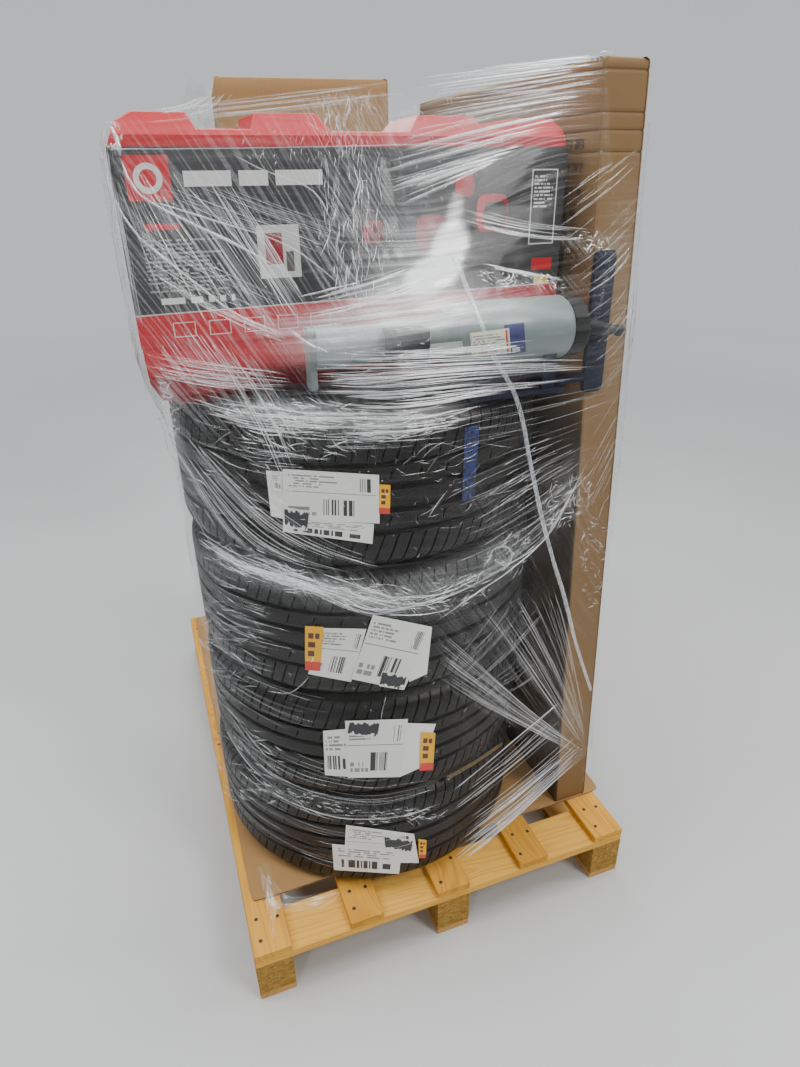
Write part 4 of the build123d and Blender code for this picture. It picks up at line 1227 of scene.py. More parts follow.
def tall_print_and_shade(s, col):
    """Rows of plain brown bars high on the broad side, painted shade low on the broad side beside the tyres, and
    painted shade along the creases.
    """
    x, y, z = s.xyz(s.obj())
    f = s.math("MULTIPLY", s.math("SUBTRACT", z, LOAD_Z), 1.0 / (TTOP - LOAD_Z))
    u = s.math("SUBTRACT", x, s.math("MULTIPLY", f, TLX))
    v = s.math("SUBTRACT", y, s.math("MULTIPLY", f, TLY))
    side = s.math("LESS_THAN", u, TX0 + 0.004)
    rows = s.lines(v, z, (TY0 + 0.040, 1.270, TY0 + 0.150, 1.462), 6, 13, 5.0, 0.42)
    worn = s.step(s.noise(s.obj(), scale=150.0, detail=2.0), 0.34, 0.52)
    col = stamp(s, col, s.math("MULTIPLY", s.math("MULTIPLY", rows, side), s.math("MULTIPLY", worn, 0.75)), (0.055, 0.030, 0.016))
    # painted shade: the broad side turns near black below about 1.06 to 1.20 m, for the shade in the narrow gap beside
    # the tyres
    shade_edge_noise = s.noise(s.map(s.obj(), scale=(1, 1, 0.6)), scale=9.0, detail=4.0, rough=0.6)
    painted_shade = s.math("SUBTRACT", 1.0, s.step(s.math("ADD", z, s.math("MULTIPLY", shade_edge_noise, 0.16)), 1.06, 1.20))
    painted_shade = s.math("MULTIPLY", painted_shade, s.math("ADD", 0.62, s.math("MULTIPLY", shade_edge_noise, 0.30)))
    col = s.mix(s.math("MULTIPLY", painted_shade, side), col, (0.032, 0.025, 0.020))
    # painted shade: a dark line along each crease
    for zc in CREASES:
        m = s.math("SUBTRACT", 1.0, s.step(s.math("ABSOLUTE", s.math("SUBTRACT", z, zc)), 0.0, 0.0022))
        col = s.mix(s.math("MULTIPLY", m, 0.45), col, (0.075, 0.040, 0.018))
    return col


MAT_TALL = kraft("kraft_tall", 21, (0.0, 150.0, 0.0), (0.205, 0.119, 0.044), (0.164, 0.092, 0.033), extra=tall_print_and_shade)
MAT_BACK = kraft("kraft_back", 22, (110.0, 110.0, 0.0), (0.33, 0.185, 0.072), (0.27, 0.148, 0.056))
tb = [(TX0, TY0), (TX1, TY0), (TX1, TY1), (TX0, TY1)]
tt = [(x + TLX, y + TLY) for x, y in tb]
carton("tall_carton_board", "tall_carton", tb, tt, LOAD_Z, TTOP, [MAT_TALL], 5, radius=0.006, bulge=0.0035, nper=90, nz=70, creases=CREASES, dome=0.007)
ca, sa = math.cos(math.radians(-6.0)), math.sin(math.radians(-6.0))
bb = [(0.017 + u * ca - v * sa, 0.388 + u * sa + v * ca) for u, v in ((-0.18, -0.165), (0.18, -0.165), (0.18, 0.165), (-0.18, 0.165))]
carton("back_carton_board", "back_carton", bb, bb, LOAD_Z, 1.584, [MAT_BACK], 9, bulge=0.006, nper=80, nz=60, dome=0.004)

# --------------------------------------------------------------------- film
# The wrap is pulled tight: at each height it is the convex outline of what
# stands there, and up and down it bridges hollows in shallow curves.
FC = np.array([-0.030, -0.030])
KD = 360
TH = np.arange(KD) * 2 * math.pi / KD
UK = np.stack([np.cos(TH), np.sin(TH)], 1)
ZS = np.arange(0.08, 1.665, 0.01)
LEV_LO, LEV_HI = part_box("motor_lever")


def circle(c, r, n=96):
    a = np.arange(n) * 2 * math.pi / n
    return np.stack([c[0] + r * np.cos(a), c[1] + r * np.sin(a)], 1)


def load_points(z):
    pts = []
    for i in range(4):
        z0, z1 = TYRE_Z[i], TYRE_Z[i + 1]
        if z0 - 0.06 * (i == 0) - 0.005 <= z <= z1 + 0.005:
            e = max(0.0, min(z - z0, z1 - z))
            r = TYRE_R + float(np.interp(e, [0, 0.006, 0.014, 0.024, 0.040], [-0.060, -0.022, -0.008, -0.002, 0.0015]))
            if i == 0 and z < z0 + 0.02:
                r = TYRE_R - 0.006
            pts.append(circle(TYRE_C[i], r))
    f = (z - LOAD_Z) / (TTOP - LOAD_Z)
    pts.append(np.array([(x + TLX * f, y + TLY * f) for x, y in tb]))
    pts.append(np.array(bb))
    if z >= TYRE_Z[4]:
        e = z - TYRE_Z[4]
        ix = float(np.interp(e, [0, 0.014, 0.042, 0.070], [0.044, 0.015, 0.002, 0.0]))
        iy = float(np.interp(e, [0, 0.020, 0.048], [0.034, 0.008, 0.0]))
        ix = max(ix, float(np.interp(1.472 - z, [-0.02, 0, 0.006, 0.016, 0.032, 0.050], [0.08, 0.052, 0.034, 0.016, 0.004, 0.0])))
        g = 0.0022 if 1.18 < z < 1.44 else 0.0
        x0, x1, y0, y1 = -0.406 + ix - g, 0.238 - ix + g, -0.413 + iy - g, -0.267 - iy + g
        pts.append(np.array([(x0, y0), (x1, y0), (x1, y1), (x0, y1)]))
    dz = z - 1.190
    if abs(dz) < 0.046:
        y = -0.505 - math.sqrt(0.046**2 - dz * dz)
        pts.append(np.array([(0.005, y), (0.195, y), (0.222, y + 0.002)]))
    if abs(dz) < 0.030:
        pts.append(np.array([(-0.190, -0.505 - math.sqrt(0.030**2 - dz * dz))]))
    if 1.168 <= z <= 1.212:
        pts.append(np.array([(-0.096, -0.5592), (-0.040, -0.5592)]))
    if LEV_LO.z <= z <= LEV_HI.z:
        pts.append(np.array([(LEV_LO.x, LEV_LO.y)]))
    if abs(z - 1.178) < 0.020:
        pts.append(np.array([(0.309, -0.516)]))
    if 1.075 <= z <= 1.293:
        pts.append(np.array([(0.262, -0.4845), (0.298, -0.4845)]))
    if 1.099 <= z <= 1.107:
        pts.append(np.array([(0.030, -0.540), (0.190, -0.540)]))
    return np.concatenate(pts)


HS = np.array([((load_points(z) - FC) @ UK.T).max(0) for z in ZS])
BOW = 0.40
cost = (ZS[:, None] - ZS[None, :]) ** 2 / (2 * BOW)
CL = np.array([(HS - cost[i][:, None]).max(0) for i in range(len(ZS))])
CL = np.array([(CL + cost[i][:, None]).min(0) for i in range(len(ZS))])
for _ in range(4):
    sm = CL.copy()
    sm[1:-1] = (CL[:-2] + 2 * CL[1:-1] + CL[2:]) / 4
    CL = np.maximum(sm, HS)
NPHI = 1440
PHI = np.arange(NPHI) * 2 * math.pi / NPHI
cosd = np.cos(PHI[:, None] - TH[None, :])
inv = np.where(cosd > 0.05, 1.0 / np.maximum(cosd, 0.05), 1e6)
RAD = np.array([((CL[i] + 0.0030)[None, :] * inv).min(1) for i in range(len(ZS))])


def rad(phi, z):
    a = (phi % (2 * math.pi)) / (2 * math.pi) * NPHI
    b = np.clip((z - ZS[0]) / 0.01, 0, len(ZS) - 1.001)
    i0, j0 = np.floor(a).astype(int), np.floor(b).astype(int)
    fa, fb = a - i0, b - j0
    i0 %= NPHI
    i1 = (i0 + 1) % NPHI
    return (RAD[j0, i0] * (1 - fa) + RAD[j0, i1] * fa) * (1 - fb) + (RAD[j0 + 1, i0] * (1 - fa) + RAD[j0 + 1, i1] * fa) * fb


def wrap_point(phi, z, off=0.0):
    r = rad(phi, z) + off
    return np.stack([FC[0] + r * np.cos(phi), FC[1] + r * np.sin(phi), z + 0 * r], -1)


def wrap_normal(phi, z):
    e = 0.006
    du = wrap_point(phi + e, z) - wrap_point(phi - e, z)
    dv = wrap_point(phi, z + 0.008) - wrap_point(phi, z - 0.008)
    n = np.cross(du, dv)
    return n / np.linalg.norm(n, axis=-1)[..., None]


def hit(uv):
    """(phi, z) where rays through picture points first meet the wrap."""
    d = rays(uv)

    def gap(t):
        p = EYE[None, :] + t[:, None] * d
        q = p[:, :2] - FC
        ph = np.arctan2(q[:, 1], q[:, 0])
        return np.linalg.norm(q, axis=1) - rad(ph, p[:, 2]), ph, p[:, 2]

    ts = np.arange(0.55, 2.6, 0.012)
    n = len(d)
    found = np.zeros(n, bool)
    lo = np.full(n, ts[0])
    best, best_t = np.full(n, 9.0), np.full(n, ts[0])
    for t in ts:
        g, _, _ = gap(np.full(n, t))
        new = (g < 0) & ~found
        lo[new] = t - 0.012
        found |= new
        closer = (g < best) & ~found
        best[closer], best_t[closer] = g[closer], t
    a, b = lo.copy(), lo + 0.012
    for _ in range(11):
        m = (a + b) / 2
        g, _, _ = gap(m)
        a, b = np.where(g > 0, m, a), np.where(g > 0, b, m)
    t = np.where(found, (a + b) / 2, best_t)
    _, ph, z = gap(t)
    return ph, z


def phi_of(x, y):
    return math.atan2(y - FC[1], x - FC[0])


def by_phi(stops):
    """A closed function of direction through (phi, value) stops."""
    st = sorted(((p % (2 * math.pi)), v) for p, v in stops)
    xs = [p for p, _ in st]
    vs = [v for _, v in st]
    xs = [xs[-1] - 2 * math.pi] + xs + [xs[0] + 2 * math.pi]
    vs = [vs[-1]] + vs + [vs[0]]
    return lambda ph: np.interp(ph % (2 * math.pi), xs, vs)


pt0, pt1, pt2 = phi_of(*tt[0]), phi_of(*tt[1]), phi_of(*tt[2])
z_top = by_phi([
    (phi_of(-0.408, -0.415), 1.462), (phi_of(-0.408, -0.267), 1.468),
    (phi_of(-0.408, -0.267) * 0.5 + phi_of(*bb[0]) * 0.5 if phi_of(*bb[0]) < 0 else phi_of(-0.300, 0.02), 1.476),
    (phi_of(*bb[0]), 1.588), (phi_of(*bb[0]) + 0.10, 1.556), (phi_of(*bb[0]) + 0.24, 1.522), (phi_of(*bb[0]) + 0.45, 1.496), (phi_of(*bb[0]) - 0.08, 1.592), (phi_of(*bb[2]), 1.592),
    (pt2, 1.552), (pt1, 1.462), (pt0 + 0.02, 1.392), (pt0 - 0.004, 1.546), (phi_of(0.0, -0.43), 1.512),
])
pb0, pb1 = phi_of(0.299, -0.49), phi_of(0.377, -0.49)
z_bot = by_phi([
    (math.radians(180), 0.150), (math.radians(-130), 0.139), (math.radians(-100), 0.138), (math.radians(-80), 0.141),
    (pb0 - 0.10, 0.215), (pb1, 0.262), (pb1 + 0.25, 0.232), (math.radians(20), 0.170), (math.radians(60), 0.150), (math.radians(120), 0.160),
])
S_ROW = np.concatenate([[0], np.cumsum(np.linalg.norm(np.diff(wrap_point(PHI, np.full(NPHI, 1.2)), axis=0), axis=1))])
PERIM = S_ROW[-1] + float(np.linalg.norm(wrap_point(PHI[-1:], np.array([1.2])) - wrap_point(PHI[:1], np.array([1.2]))))


SEAM = phi_of(*bb[2])


def arc(ph):
    """Distance round the load, counted from the back carton's far corner."""
    p = ph % (2 * math.pi)
    return np.interp(p / (2 * math.pi) * NPHI, np.arange(NPHI + 1), np.append(S_ROW, PERIM)) + PERIM * (p < SEAM)


# soft blobs in the picture: (u, v, half width, half height, turn in degrees, amount, for some how firm the rim is).
# They make the film milky where it lies thick, and the strong firm blobs on the case paint a lamp's reflection into it
# as a painted glare.
HAZE_AND_GLARE = [
    (210, 135, 150, 30, -6, 0.03), (170, 250, 60, 85, 20, 0.02), (480, 125, 110, 50, -12, 0.07),
    (375, 250, 60, 70, 0, 0.03), (454, 214, 7, 18, 12, 0.34, 1.8), (449, 247, 16, 23, 20, 0.86, 3.0), (431, 276, 29, 17, -30, 0.92, 3.0), (404, 290, 40, 10, -8, 0.30), (420, 262, 40, 46, 20, 0.16), (395, 318, 100, 17, -8, 0.46),
    (340, 348, 50, 14, -4, 0.16), (440, 372, 110, 16, -10, 0.07), (200, 350, 60, 16, 8, 0.03),
    (300, 411, 66, 9, 4, 0.20), (400, 419, 50, 10, -12, 0.17), (172, 410, 8, 34, -14, 0.12),
    (205, 500, 14, 50, -28, 0.03), (250, 560, 54, 10, 10, 0.05), (340, 590, 78, 9, 10, 0.21),
    (420, 586, 50, 12, -14, 0.07), (500, 556, 34, 12, -36, 0.06), (560, 490, 14, 40, 22, 0.04),
    (560, 728, 22, 26, 40, 0.05), (548, 778, 56, 9, -38, 0.10), (475, 575, 40, 26, -24, 0.02),
    (300, 794, 66, 7, 12, 0.04), (230, 690, 10, 80, -8, 0.03), (620, 300, 22, 110, 4, 0.03),
    (400, 880, 90, 6, -8, 0.05),
]
CRUMPLE = [
    (350, 210, 44, 120, -6, 1.0), (352, 120, 46, 26, 0, 0.9), (255, 150, 40, 22, 0, 0.25),
    (300, 412, 72, 20, 2, 1.0), (400, 424, 60, 16, -10, 0.8), (172, 412, 12, 34, -14, 0.9),
    (340, 588, 100, 20, 10, 1.0), (250, 566, 50, 16, 14, 0.7), (430, 590, 40, 20, -16, 0.8),
    (505, 550, 30, 22, -30, 0.8), (560, 500, 30, 26, -36, 0.7), (590, 560, 20, 40, 0, 0.5),
    (520, 285, 60, 10, 0, 0.6), (590, 245, 26, 14, 0, 0.6), (300, 790, 80, 12, 12, 0.5), (400, 812, 40, 10, -6, 0.5),
    (480, 500, 24, 20, 0, 0.3), (240, 72, 22, 10, 0, 0.9),
]


def blobs(u, v, table):
    out = np.zeros_like(u)
    for cu, cv, ru, rv, turn, amt, *firm in table:
        a = math.radians(turn)
        du, dv = u - cu, v - cv
        x, y = du * math.cos(a) + dv * math.sin(a), -du * math.sin(a) + dv * math.cos(a)
        out += amt * np.exp(-((x / ru) ** 2 + (y / rv) ** 2) ** (firm[0] if firm else 1.2))
    return out


def ridge(x, y, seed):
    """Sharp crests, 0..1."""
    return (1 - np.abs(2 * value_noise(x, y, seed) - 1)) ** 3


def film_fields(ph, z, seed):
    """Height above the tight surface and the shading fields for wrap vertices."""
    P = wrap_point(ph, z)
    N = wrap_normal(ph, z)
    uv = pixel(P)
    view = EYE - P
    view /= np.linalg.norm(view, axis=1)[:, None]
    front = smoothstep(-0.02, 0.22, (N * view).sum(1))
    s = arc(ph)
    u, v = uv[:, 0], uv[:, 1]
    # the milky field carries a painted glare as well: a lamp's reflection laid into the film
    hz_glare = blobs(u, v, HAZE_AND_GLARE) * front
    cr = np.clip(blobs(u, v, CRUMPLE), 0, 1) * front
    back = 1 - front
    hz_glare = hz_glare + back * 0.13 * smoothstep(0.42, 0.75, fbm(s * 3.2, z * 4.5, seed + 3))
    cr = np.maximum(cr, back * 0.8 * smoothstep(0.60, 0.78, fbm(s * 3.6 + 7, z * 5.2, seed + 9)))
    # first set of pleats runs round the load, rising a little to the right;
    # it tilts more towards the tall carton's top corner
    tilt = 0.06 + 0.30 * np.exp(-(((u - 470) / 120) ** 2 + ((v - 170) / 70) ** 2)) * front
    tilt = tilt + 0.62 * np.exp(-(((u - 520) / 60) ** 2 + ((v - 520) / 70) ** 2)) * front
    tilt = tilt + 0.55 * np.exp(-(((u - 530) / 70) ** 2 + ((v - 790) / 50) ** 2)) * front
    s0 = arc(np.array([phi_of(0.0, -0.5)]))[0]
    ds = s - s0
    ca_, cl_ = z - 0.06 * ds - (tilt - 0.06) * (ds - 0.15), ds
    ma = 0.55 + 0.45 * smoothstep(0.35, 0.7, fbm(s * 2.1, z * 2.7, seed + 21))
    # second set: steep folds that fall to the right on the left half, and to
    # the right again in the lower right corner
    st = 1.45
    cb_ = (z + st * ds) / math.sqrt(1 + st * st)
    lb_ = (ds - st * z) / math.sqrt(1 + st * st)
    mb = front * np.clip(np.exp(-(((u - 200) / 105) ** 2 + ((v - 270) / 130) ** 2)) + 0.35 * np.exp(-(((u - 250) / 70) ** 2 + ((v - 420) / 60) ** 2))
                         + 0.4 * np.exp(-(((u - 520) / 75) ** 2 + ((v - 665) / 65) ** 2)), 0, 1)
    mb = mb + back * 0.6 * smoothstep(0.5, 0.7, fbm(s * 1.7 + 3, z * 1.9, seed + 33))
    h = 0.0016 * ma * ridge(ca_ * 34, cl_ * 2.0, seed + 1) + 0.0010 * ridge(ca_ * 70 + 5, cl_ * 3.3, seed + 2)
    h = h + 0.0018 * mb * ridge(cb_ * 40, lb_ * 2.2, seed + 4)
    h = h + cr * (0.0042 * ridge(s * 46, z * 15, seed + 5) + 0.0022 * ridge(s * 90, z * 34, seed + 6))
    h = h + 0.003 * (fbm(s * 4, z * 4, seed + 7) - 0.3)
    fa = np.stack([ca_, cl_, ma], 1)
    fb = np.stack([cb_, lb_, mb], 1)
    return P, N, h, hz_glare, cr, fa, fb, front


def see_through(ob):
    """The film neither darkens what it covers nor bounces light back on it."""
    ob.visible_shadow = False
    ob.visible_diffuse = False
    ob.visible_glossy = False


def film_material(name, seed, body=0.001, gain=1.0, relief=True):
    """Clear stretch film: almost nothing where it lies single and square to
    the eye, whiter where pleats lie double, with sharp broken reflections,
    and whiter still where a lamp's reflection is laid in as painted glare."""
    s = Shader(name)
    ca_, cl_, ma = s.xyz(s.attr("fa", "Vector"))
    cb_, lb_, mb = s.xyz(s.attr("fb", "Vector"))
    hz_glare = s.attr("haze_and_glare")
    cr = s.attr("crump")

    def streak(c, l, fc, fl, w, detail=1.0):
        n = s.noise(s.vec(s.math("MULTIPLY_ADD", c, fc, w), s.math("MULTIPLY_ADD", l, fl, w), 0.0), scale=1.0, detail=detail, rough=0.6)
        n.node.noise_dimensions = "2D"
        return n

    a1 = streak(ca_, cl_, 150.0, 2.8, seed + 0.3, 1.0)
    a2 = streak(ca_, cl_, 560.0, 9.0, seed + 1.7, 0.0)
    b1 = streak(cb_, lb_, 280.0, 5.0, seed + 7.3, 0.0)
    la = s.math("ADD", s.math("MULTIPLY", s.step(a1, 0.56, 0.70), 0.50), s.math("MULTIPLY", s.step(a2, 0.62, 0.76), 0.45))
    lb = s.step(b1, 0.58, 0.70)
    # the milky field also holds the painted glare, which whitens the film like a reflection
    veil = s.math("ADD", body, s.math("MULTIPLY", hz_glare, s.math("ADD", 0.10, s.math("MULTIPLY", a1, 1.1))))
    veil = s.math("ADD", veil, s.math("MULTIPLY", s.math("MULTIPLY", la, ma), s.math("ADD", 0.026 * gain, s.math("MULTIPLY", hz_glare, 0.9))))
    veil = s.math("ADD", veil, s.math("MULTIPLY", s.math("MULTIPLY", lb, mb), 0.16 * gain))
    veil = s.math("ADD", veil, s.math("MULTIPLY", s.math("MULTIPLY", s.step(b1, 0.50, 0.72), cr), 0.10 * gain))
    height = a1
    height = s.math("ADD", height, s.math("MULTIPLY", b1, s.math("ADD", s.math("MULTIPLY", mb, 0.7), s.math("MULTIPLY", cr, 0.9))))
    if relief:
        nrm = s.bump(height, 0.8, 0.0026)
        s.set(Normal=nrm)
        lw = s.node("LayerWeight", Normal=nrm)
    else:
        lw = s.node("LayerWeight")
    lw.inputs["Blend"].default_value = 0.5
    facing = lw.outputs["Facing"]
    mir = s.math("ADD", 0.005, s.math("MULTIPLY", s.math("POWER", facing, 6.0), 0.17))
    total = s.math("ADD", veil, mir, clamp=True)
    total = s.math("MINIMUM", total, 0.97)
    s.set(Base_Color=(0.93, 0.95, 0.97), Alpha=total, Metallic=s.math("DIVIDE", mir, total, clamp=True))
    s.set(Roughness=s.math("ADD", 0.08, s.math("MULTIPLY", a1, 0.10)))
    return s.m


def phi_columns(n_front, n_back):
    a = np.linspace(math.radians(-185), math.radians(-18), n_front, endpoint=False)
    b = np.linspace(math.radians(-18), math.radians(175), n_back, endpoint=False)
    return np.sort(np.concatenate([a, b, [SEAM - 0.0004, SEAM + 0.0004]]))


def full_wrap(name, mat, off, seed, cols, rows, lo, hi, wob=0.0, replaces=()):
    ph1 = cols
    nc = len(ph1)
    t = np.linspace(0, 1, rows)
    zl, zh = lo(ph1), hi(ph1)
    if wob:
        zl = zl + wob * (fbm(arc(ph1) * 9, arc(ph1) * 0 + seed, seed) - 0.5)
        zh = zh + wob * (fbm(arc(ph1) * 9, arc(ph1) * 0 + seed + 5, seed + 1) - 0.5)
    Z = zl[None, :] + (zh - zl)[None, :] * t[:, None]
    PHm = np.tile(ph1, (rows, 1))
    ph, z = PHm.ravel(), Z.ravel()
    P, N, h, hz_glare, cr, fa, fb, front = film_fields(ph, z, seed)
    V = P + N * (off + h)[:, None]
    faces = [tuple(q) for q in grid_faces(nc, rows, wrap_u=True)]
    ob = mesh_piece(name, V, faces, [mat], extra={"fa": fa, "fb": fb, "haze_and_glare": hz_glare, "crump": cr})
    see_through(ob)
    settle(ob, replaces)
    return ob


MAT_FILM_1 = film_material("stretch_film_inner", 0.0)
MAT_FILM_2 = film_material("stretch_film_outer", 20.0, body=0.001, gain=0.8, relief=False)
full_wrap("film_wrap", MAT_FILM_1, 0.0005, 101, phi_columns(285, 125), 214, z_bot, z_top, replaces=["stretch_film"])

edge_a = by_phi([(math.radians(-180), 1.00), (math.radians(-120), 0.93), (math.radians(-80), 0.90), (pb0, 1.02), (0.3, 1.10), (1.6, 1.05), (2.6, 1.03)])
edge_b = by_phi([(math.radians(-180), 0.66), (math.radians(-130), 0.640), (math.radians(-95), 0.600), (math.radians(-75), 0.635), (pb0, 0.78), (0.3, 0.80), (1.6, 0.70), (2.6, 0.66)])
edge_c = by_phi([(math.radians(-180), 0.44), (math.radians(-120), 0.40), (math.radians(-80), 0.42), (pb0, 0.48), (0.3, 0.50), (1.6, 0.46), (2.6, 0.45)])
full_wrap("film_band_top", MAT_FILM_2, 0.0042, 211, phi_columns(230, 90), 110, lambda p: edge_b(p), lambda p: z_top(p) - 0.012, wob=0.03)


# pleats: narrow raised folds where the film lies double, drawn whiter and more opaque than doubled film as painted
# glints. Each family is drawn between guide lines; a fold takes its place between two of them.
class Folds:
    def __init__(self):
        self.v, self.f, self.op, self.ac = [], [], [], []

    def strip(self, ph, z, width, op, off, rise, taper=(0.12, 0.12), seed=0):
        """One fold along (phi, z) points; it keeps to where there is film."""
        ok = (z > z_bot(ph) - 0.004) & (z < z_top(ph) + 0.012)
        if not ok.all():
            k = np.flatnonzero(ok)
            if len(k) < 6:
                return
            cut = np.flatnonzero(np.diff(k) > 1)
            first, last = (k[0], k[-1]) if len(cut) == 0 else (k[0], k[cut[0]])
            if last - first < 5:
                return
            ph, z = ph[first:last + 1], z[first:last + 1]
        n = len(ph)
        P = wrap_point(ph, z)
        N = wrap_normal(ph, z)
        T = np.gradient(P, axis=0)
        T /= np.maximum(np.linalg.norm(T, axis=1), 1e-9)[:, None]
        B = np.cross(N, T)
        t = np.linspace(0, 1, n)
        end = smoothstep(0, taper[0], t) * smoothstep(0, taper[1], 1 - t)
        w = width * (0.25 + 0.75 * end) * (0.75 + 0.5 * value_noise(t * 6 + seed * 1.7, t * 0 + seed, 88))
        o = op * (0.15 + 0.85 * end) * (0.55 + 0.75 * value_noise(t * 9 + seed * 2.3, t * 0 + seed * 0.7, 91))
        base = len(self.v)
        c = P + N * off
        rows = (c - B * (w / 2)[:, None], c + N * (rise * end)[:, None] + B * (w * 0.12)[:, None], c + B * (w / 2)[:, None])
        for r, a in zip(rows, (-1.0, 0.0, 1.0)):
            self.v += [tuple(x) for x in r]
            self.op += list(np.clip(o * (0.22 if a else 1.0), 0, 1))
            self.ac += [a] * n
        for k in range(2):
            i = np.arange(n - 1)
            q = np.stack([base + k * n + i, base + k * n + i + 1, base + (k + 1) * n + i + 1, base + (k + 1) * n + i], 1)
            self.f += [tuple(x) for x in q]


def smooth_line(pts, n):
    """n points on a Catmull-Rom curve through pts."""
    p = np.asarray(pts, float)
    if len(p) == 2:
        return p[0] + (p[1] - p[0]) * np.linspace(0, 1, n)[:, None]
    q = np.vstack([2 * p[0] - p[1], p, 2 * p[-1] - p[-2]])
    t = np.linspace(0, len(p) - 1, n)
    k = np.minimum(t.astype(int), len(p) - 2)
    f = (t - k)[:, None]
    a, b, c, d = q[k], q[k + 1], q[k + 2], q[k + 3]
    return 0.5 * (2 * b + (c - a) * f + (2 * a - 5 * b + 4 * c - d) * f * f + (3 * b - a - 3 * c + d) * f**3)


MM_PX = 1.12      # a fold's width in millimetres for one picture point


def family(out, guides, count, width, op, length=(0.5, 1.0), seed=0, off=0.0068, rise=0.0012, pts=26, wander=1.2, bend=0.0):
    r = np.random.default_rng(seed)
    G = [smooth_line(g, 60) for g in guides]
    lines = []
    for j in range(count):
        k = r.uniform(0, len(G) - 1)
        a = int(min(k, len(G) - 2))
        f = k - a
        L = G[a] * (1 - f) + G[a + 1] * f
        ln = r.uniform(*length)
        t0 = r.uniform(0, 1 - ln)
        x = np.linspace(t0, t0 + ln, pts) * 59
        c = np.stack([np.interp(x, np.arange(60), L[:, 0]), np.interp(x, np.arange(60), L[:, 1])], 1)
        w = np.linspace(0, 1, pts)
        c += r.normal(0, wander, 2) + (np.sin(w * math.pi) * r.normal(0, wander * 1.3 + bend))[:, None] * np.array([0.3, 0.9])
        lines.append(c)
    ph, z = hit(np.concatenate(lines))
    ph, z = ph.reshape(count, pts), z.reshape(count, pts)
    for j in range(count):
        if np.ptp(np.unwrap(ph[j])) > 1.6 or np.abs(np.diff(z[j])).max() > 0.12:
            continue
        wd = math.exp(r.uniform(math.log(width[0]), math.log(width[1]))) * MM_PX / 1000
        out.strip(np.unwrap(ph[j]), z[j], wd, r.uniform(*op), off + r.uniform(0, 0.0012), rise * (0.5 + wd / 0.004), seed=seed + j)


def shards(out, cu, cv, ru, rv, turn, count, ang, spread, size=(4, 15), width=(0.8, 2.2), op=(0.35, 0.9), seed=0, off=0.0085):
    """Short creases scattered over an oval of the picture, drawn white as painted glints."""
    r = np.random.default_rng(seed)
    pts = 7
    lines = []
    a0 = math.radians(turn)
    for j in range(count):
        rr, tt_ = math.sqrt(r.uniform(0, 1)), r.uniform(0, 2 * math.pi)
        x, y = ru * rr * math.cos(tt_), rv * rr * math.sin(tt_)
        u, v = cu + x * math.cos(a0) - y * math.sin(a0), cv + x * math.sin(a0) + y * math.cos(a0)
        th = math.radians(ang + r.normal(0, spread))
        ln = r.uniform(*size)
        t = np.linspace(-0.5, 0.5, pts)
        k = r.normal(0, 0.25)
        c = np.stack([u + ln * (t * math.cos(th) - k * t * t * math.sin(th)), v + ln * (t * math.sin(th) + k * t * t * math.cos(th))], 1)
        lines.append(c)
    ph, z = hit(np.concatenate(lines))
    ph, z = ph.reshape(count, pts), z.reshape(count, pts)
    for j in range(count):
        if np.ptp(np.unwrap(ph[j])) > 0.4 or np.abs(np.diff(z[j])).max() > 0.05:
            continue
        wd = r.uniform(*width) * MM_PX / 1000
        out.strip(np.unwrap(ph[j]), z[j], wd, r.uniform(*op), off + r.uniform(0, 0.003), r.uniform(0.0006, 0.0024), taper=(0.3, 0.3), seed=seed + j)


def folds_glints_material(name):
    s = Shader(name)
    op = s.attr("op")
    # white where the film lies double, and whiter and more opaque than that as painted highlight for the glints on the
    # pleats
    s.set(Base_Color=(0.93, 0.95, 0.97), Alpha=op, Metallic=0.25, Roughness=s.math("MULTIPLY_ADD", op, -0.12, 0.22))
    return s.m


def finish_folds(out, name, mat):
    ob = mesh_piece(name, out.v, out.f, [mat], extra={"op": out.op})
    see_through(ob)
    settle(ob)
    return ob


up = Folds()
family(up, [
    [(604, 57), (500, 69), (398, 82)], [(603, 68), (510, 82), (420, 95)], [(602, 80), (510, 95), (418, 108)],
    [(590, 95), (500, 110), (400, 130)], [(570, 110), (490, 128), (395, 152)], [(560, 124), (470, 148), (372, 175)],
    [(530, 142), (455, 162), (375, 184)], [(508, 158), (450, 178), (390, 198)], [(490, 166), (450, 186), (400, 212)],
], 62, (1.0, 4.8), (0.25, 0.80), (0.4, 1.0), 1, rise=0.0018, wander=0.8)
family(up, [[(604, 56), (520, 66), (440, 76)], [(604, 62), (520, 74), (440, 86)]], 12, (1.5, 4.0), (0.5, 0.9), (0.5, 1.0), 2, wander=0.6)
family(up, [[(398, 82), (345, 87), (240, 100), (150, 111)], [(398, 100), (330, 108), (240, 118), (140, 128)]], 16, (0.8, 2.6), (0.12, 0.42), (0.3, 0.9), 3)
family(up, [
    [(112, 165), (135, 225), (160, 290), (185, 355)], [(140, 165), (175, 220), (215, 280), (262, 350)],
    [(190, 170), (225, 225), (262, 280), (300, 335)], [(235, 185), (262, 228), (290, 270), (312, 305)],
], 92, (0.32, 0.80), (0.40, 1.0), (0.25, 0.9), 4, wander=1.0)
family(up, [
    [(125, 185), (180, 215), (240, 245), (300, 270)], [(150, 190), (210, 215), (280, 240), (330, 262)],
    [(170, 175), (240, 205), (300, 228), (360, 250)], [(200, 170), (260, 195), (330, 222), (400, 246)],
], 30, (0.35, 1.0), (0.25, 0.8), (0.3, 0.9), 5)
family(up, [
    [(130, 215), (190, 255), (250, 285), (305, 310)], [(140, 270), (190, 300), (240, 325), (290, 345)],
], 26, (0.35, 1.0), (0.25, 0.8), (0.3, 0.9), 6)
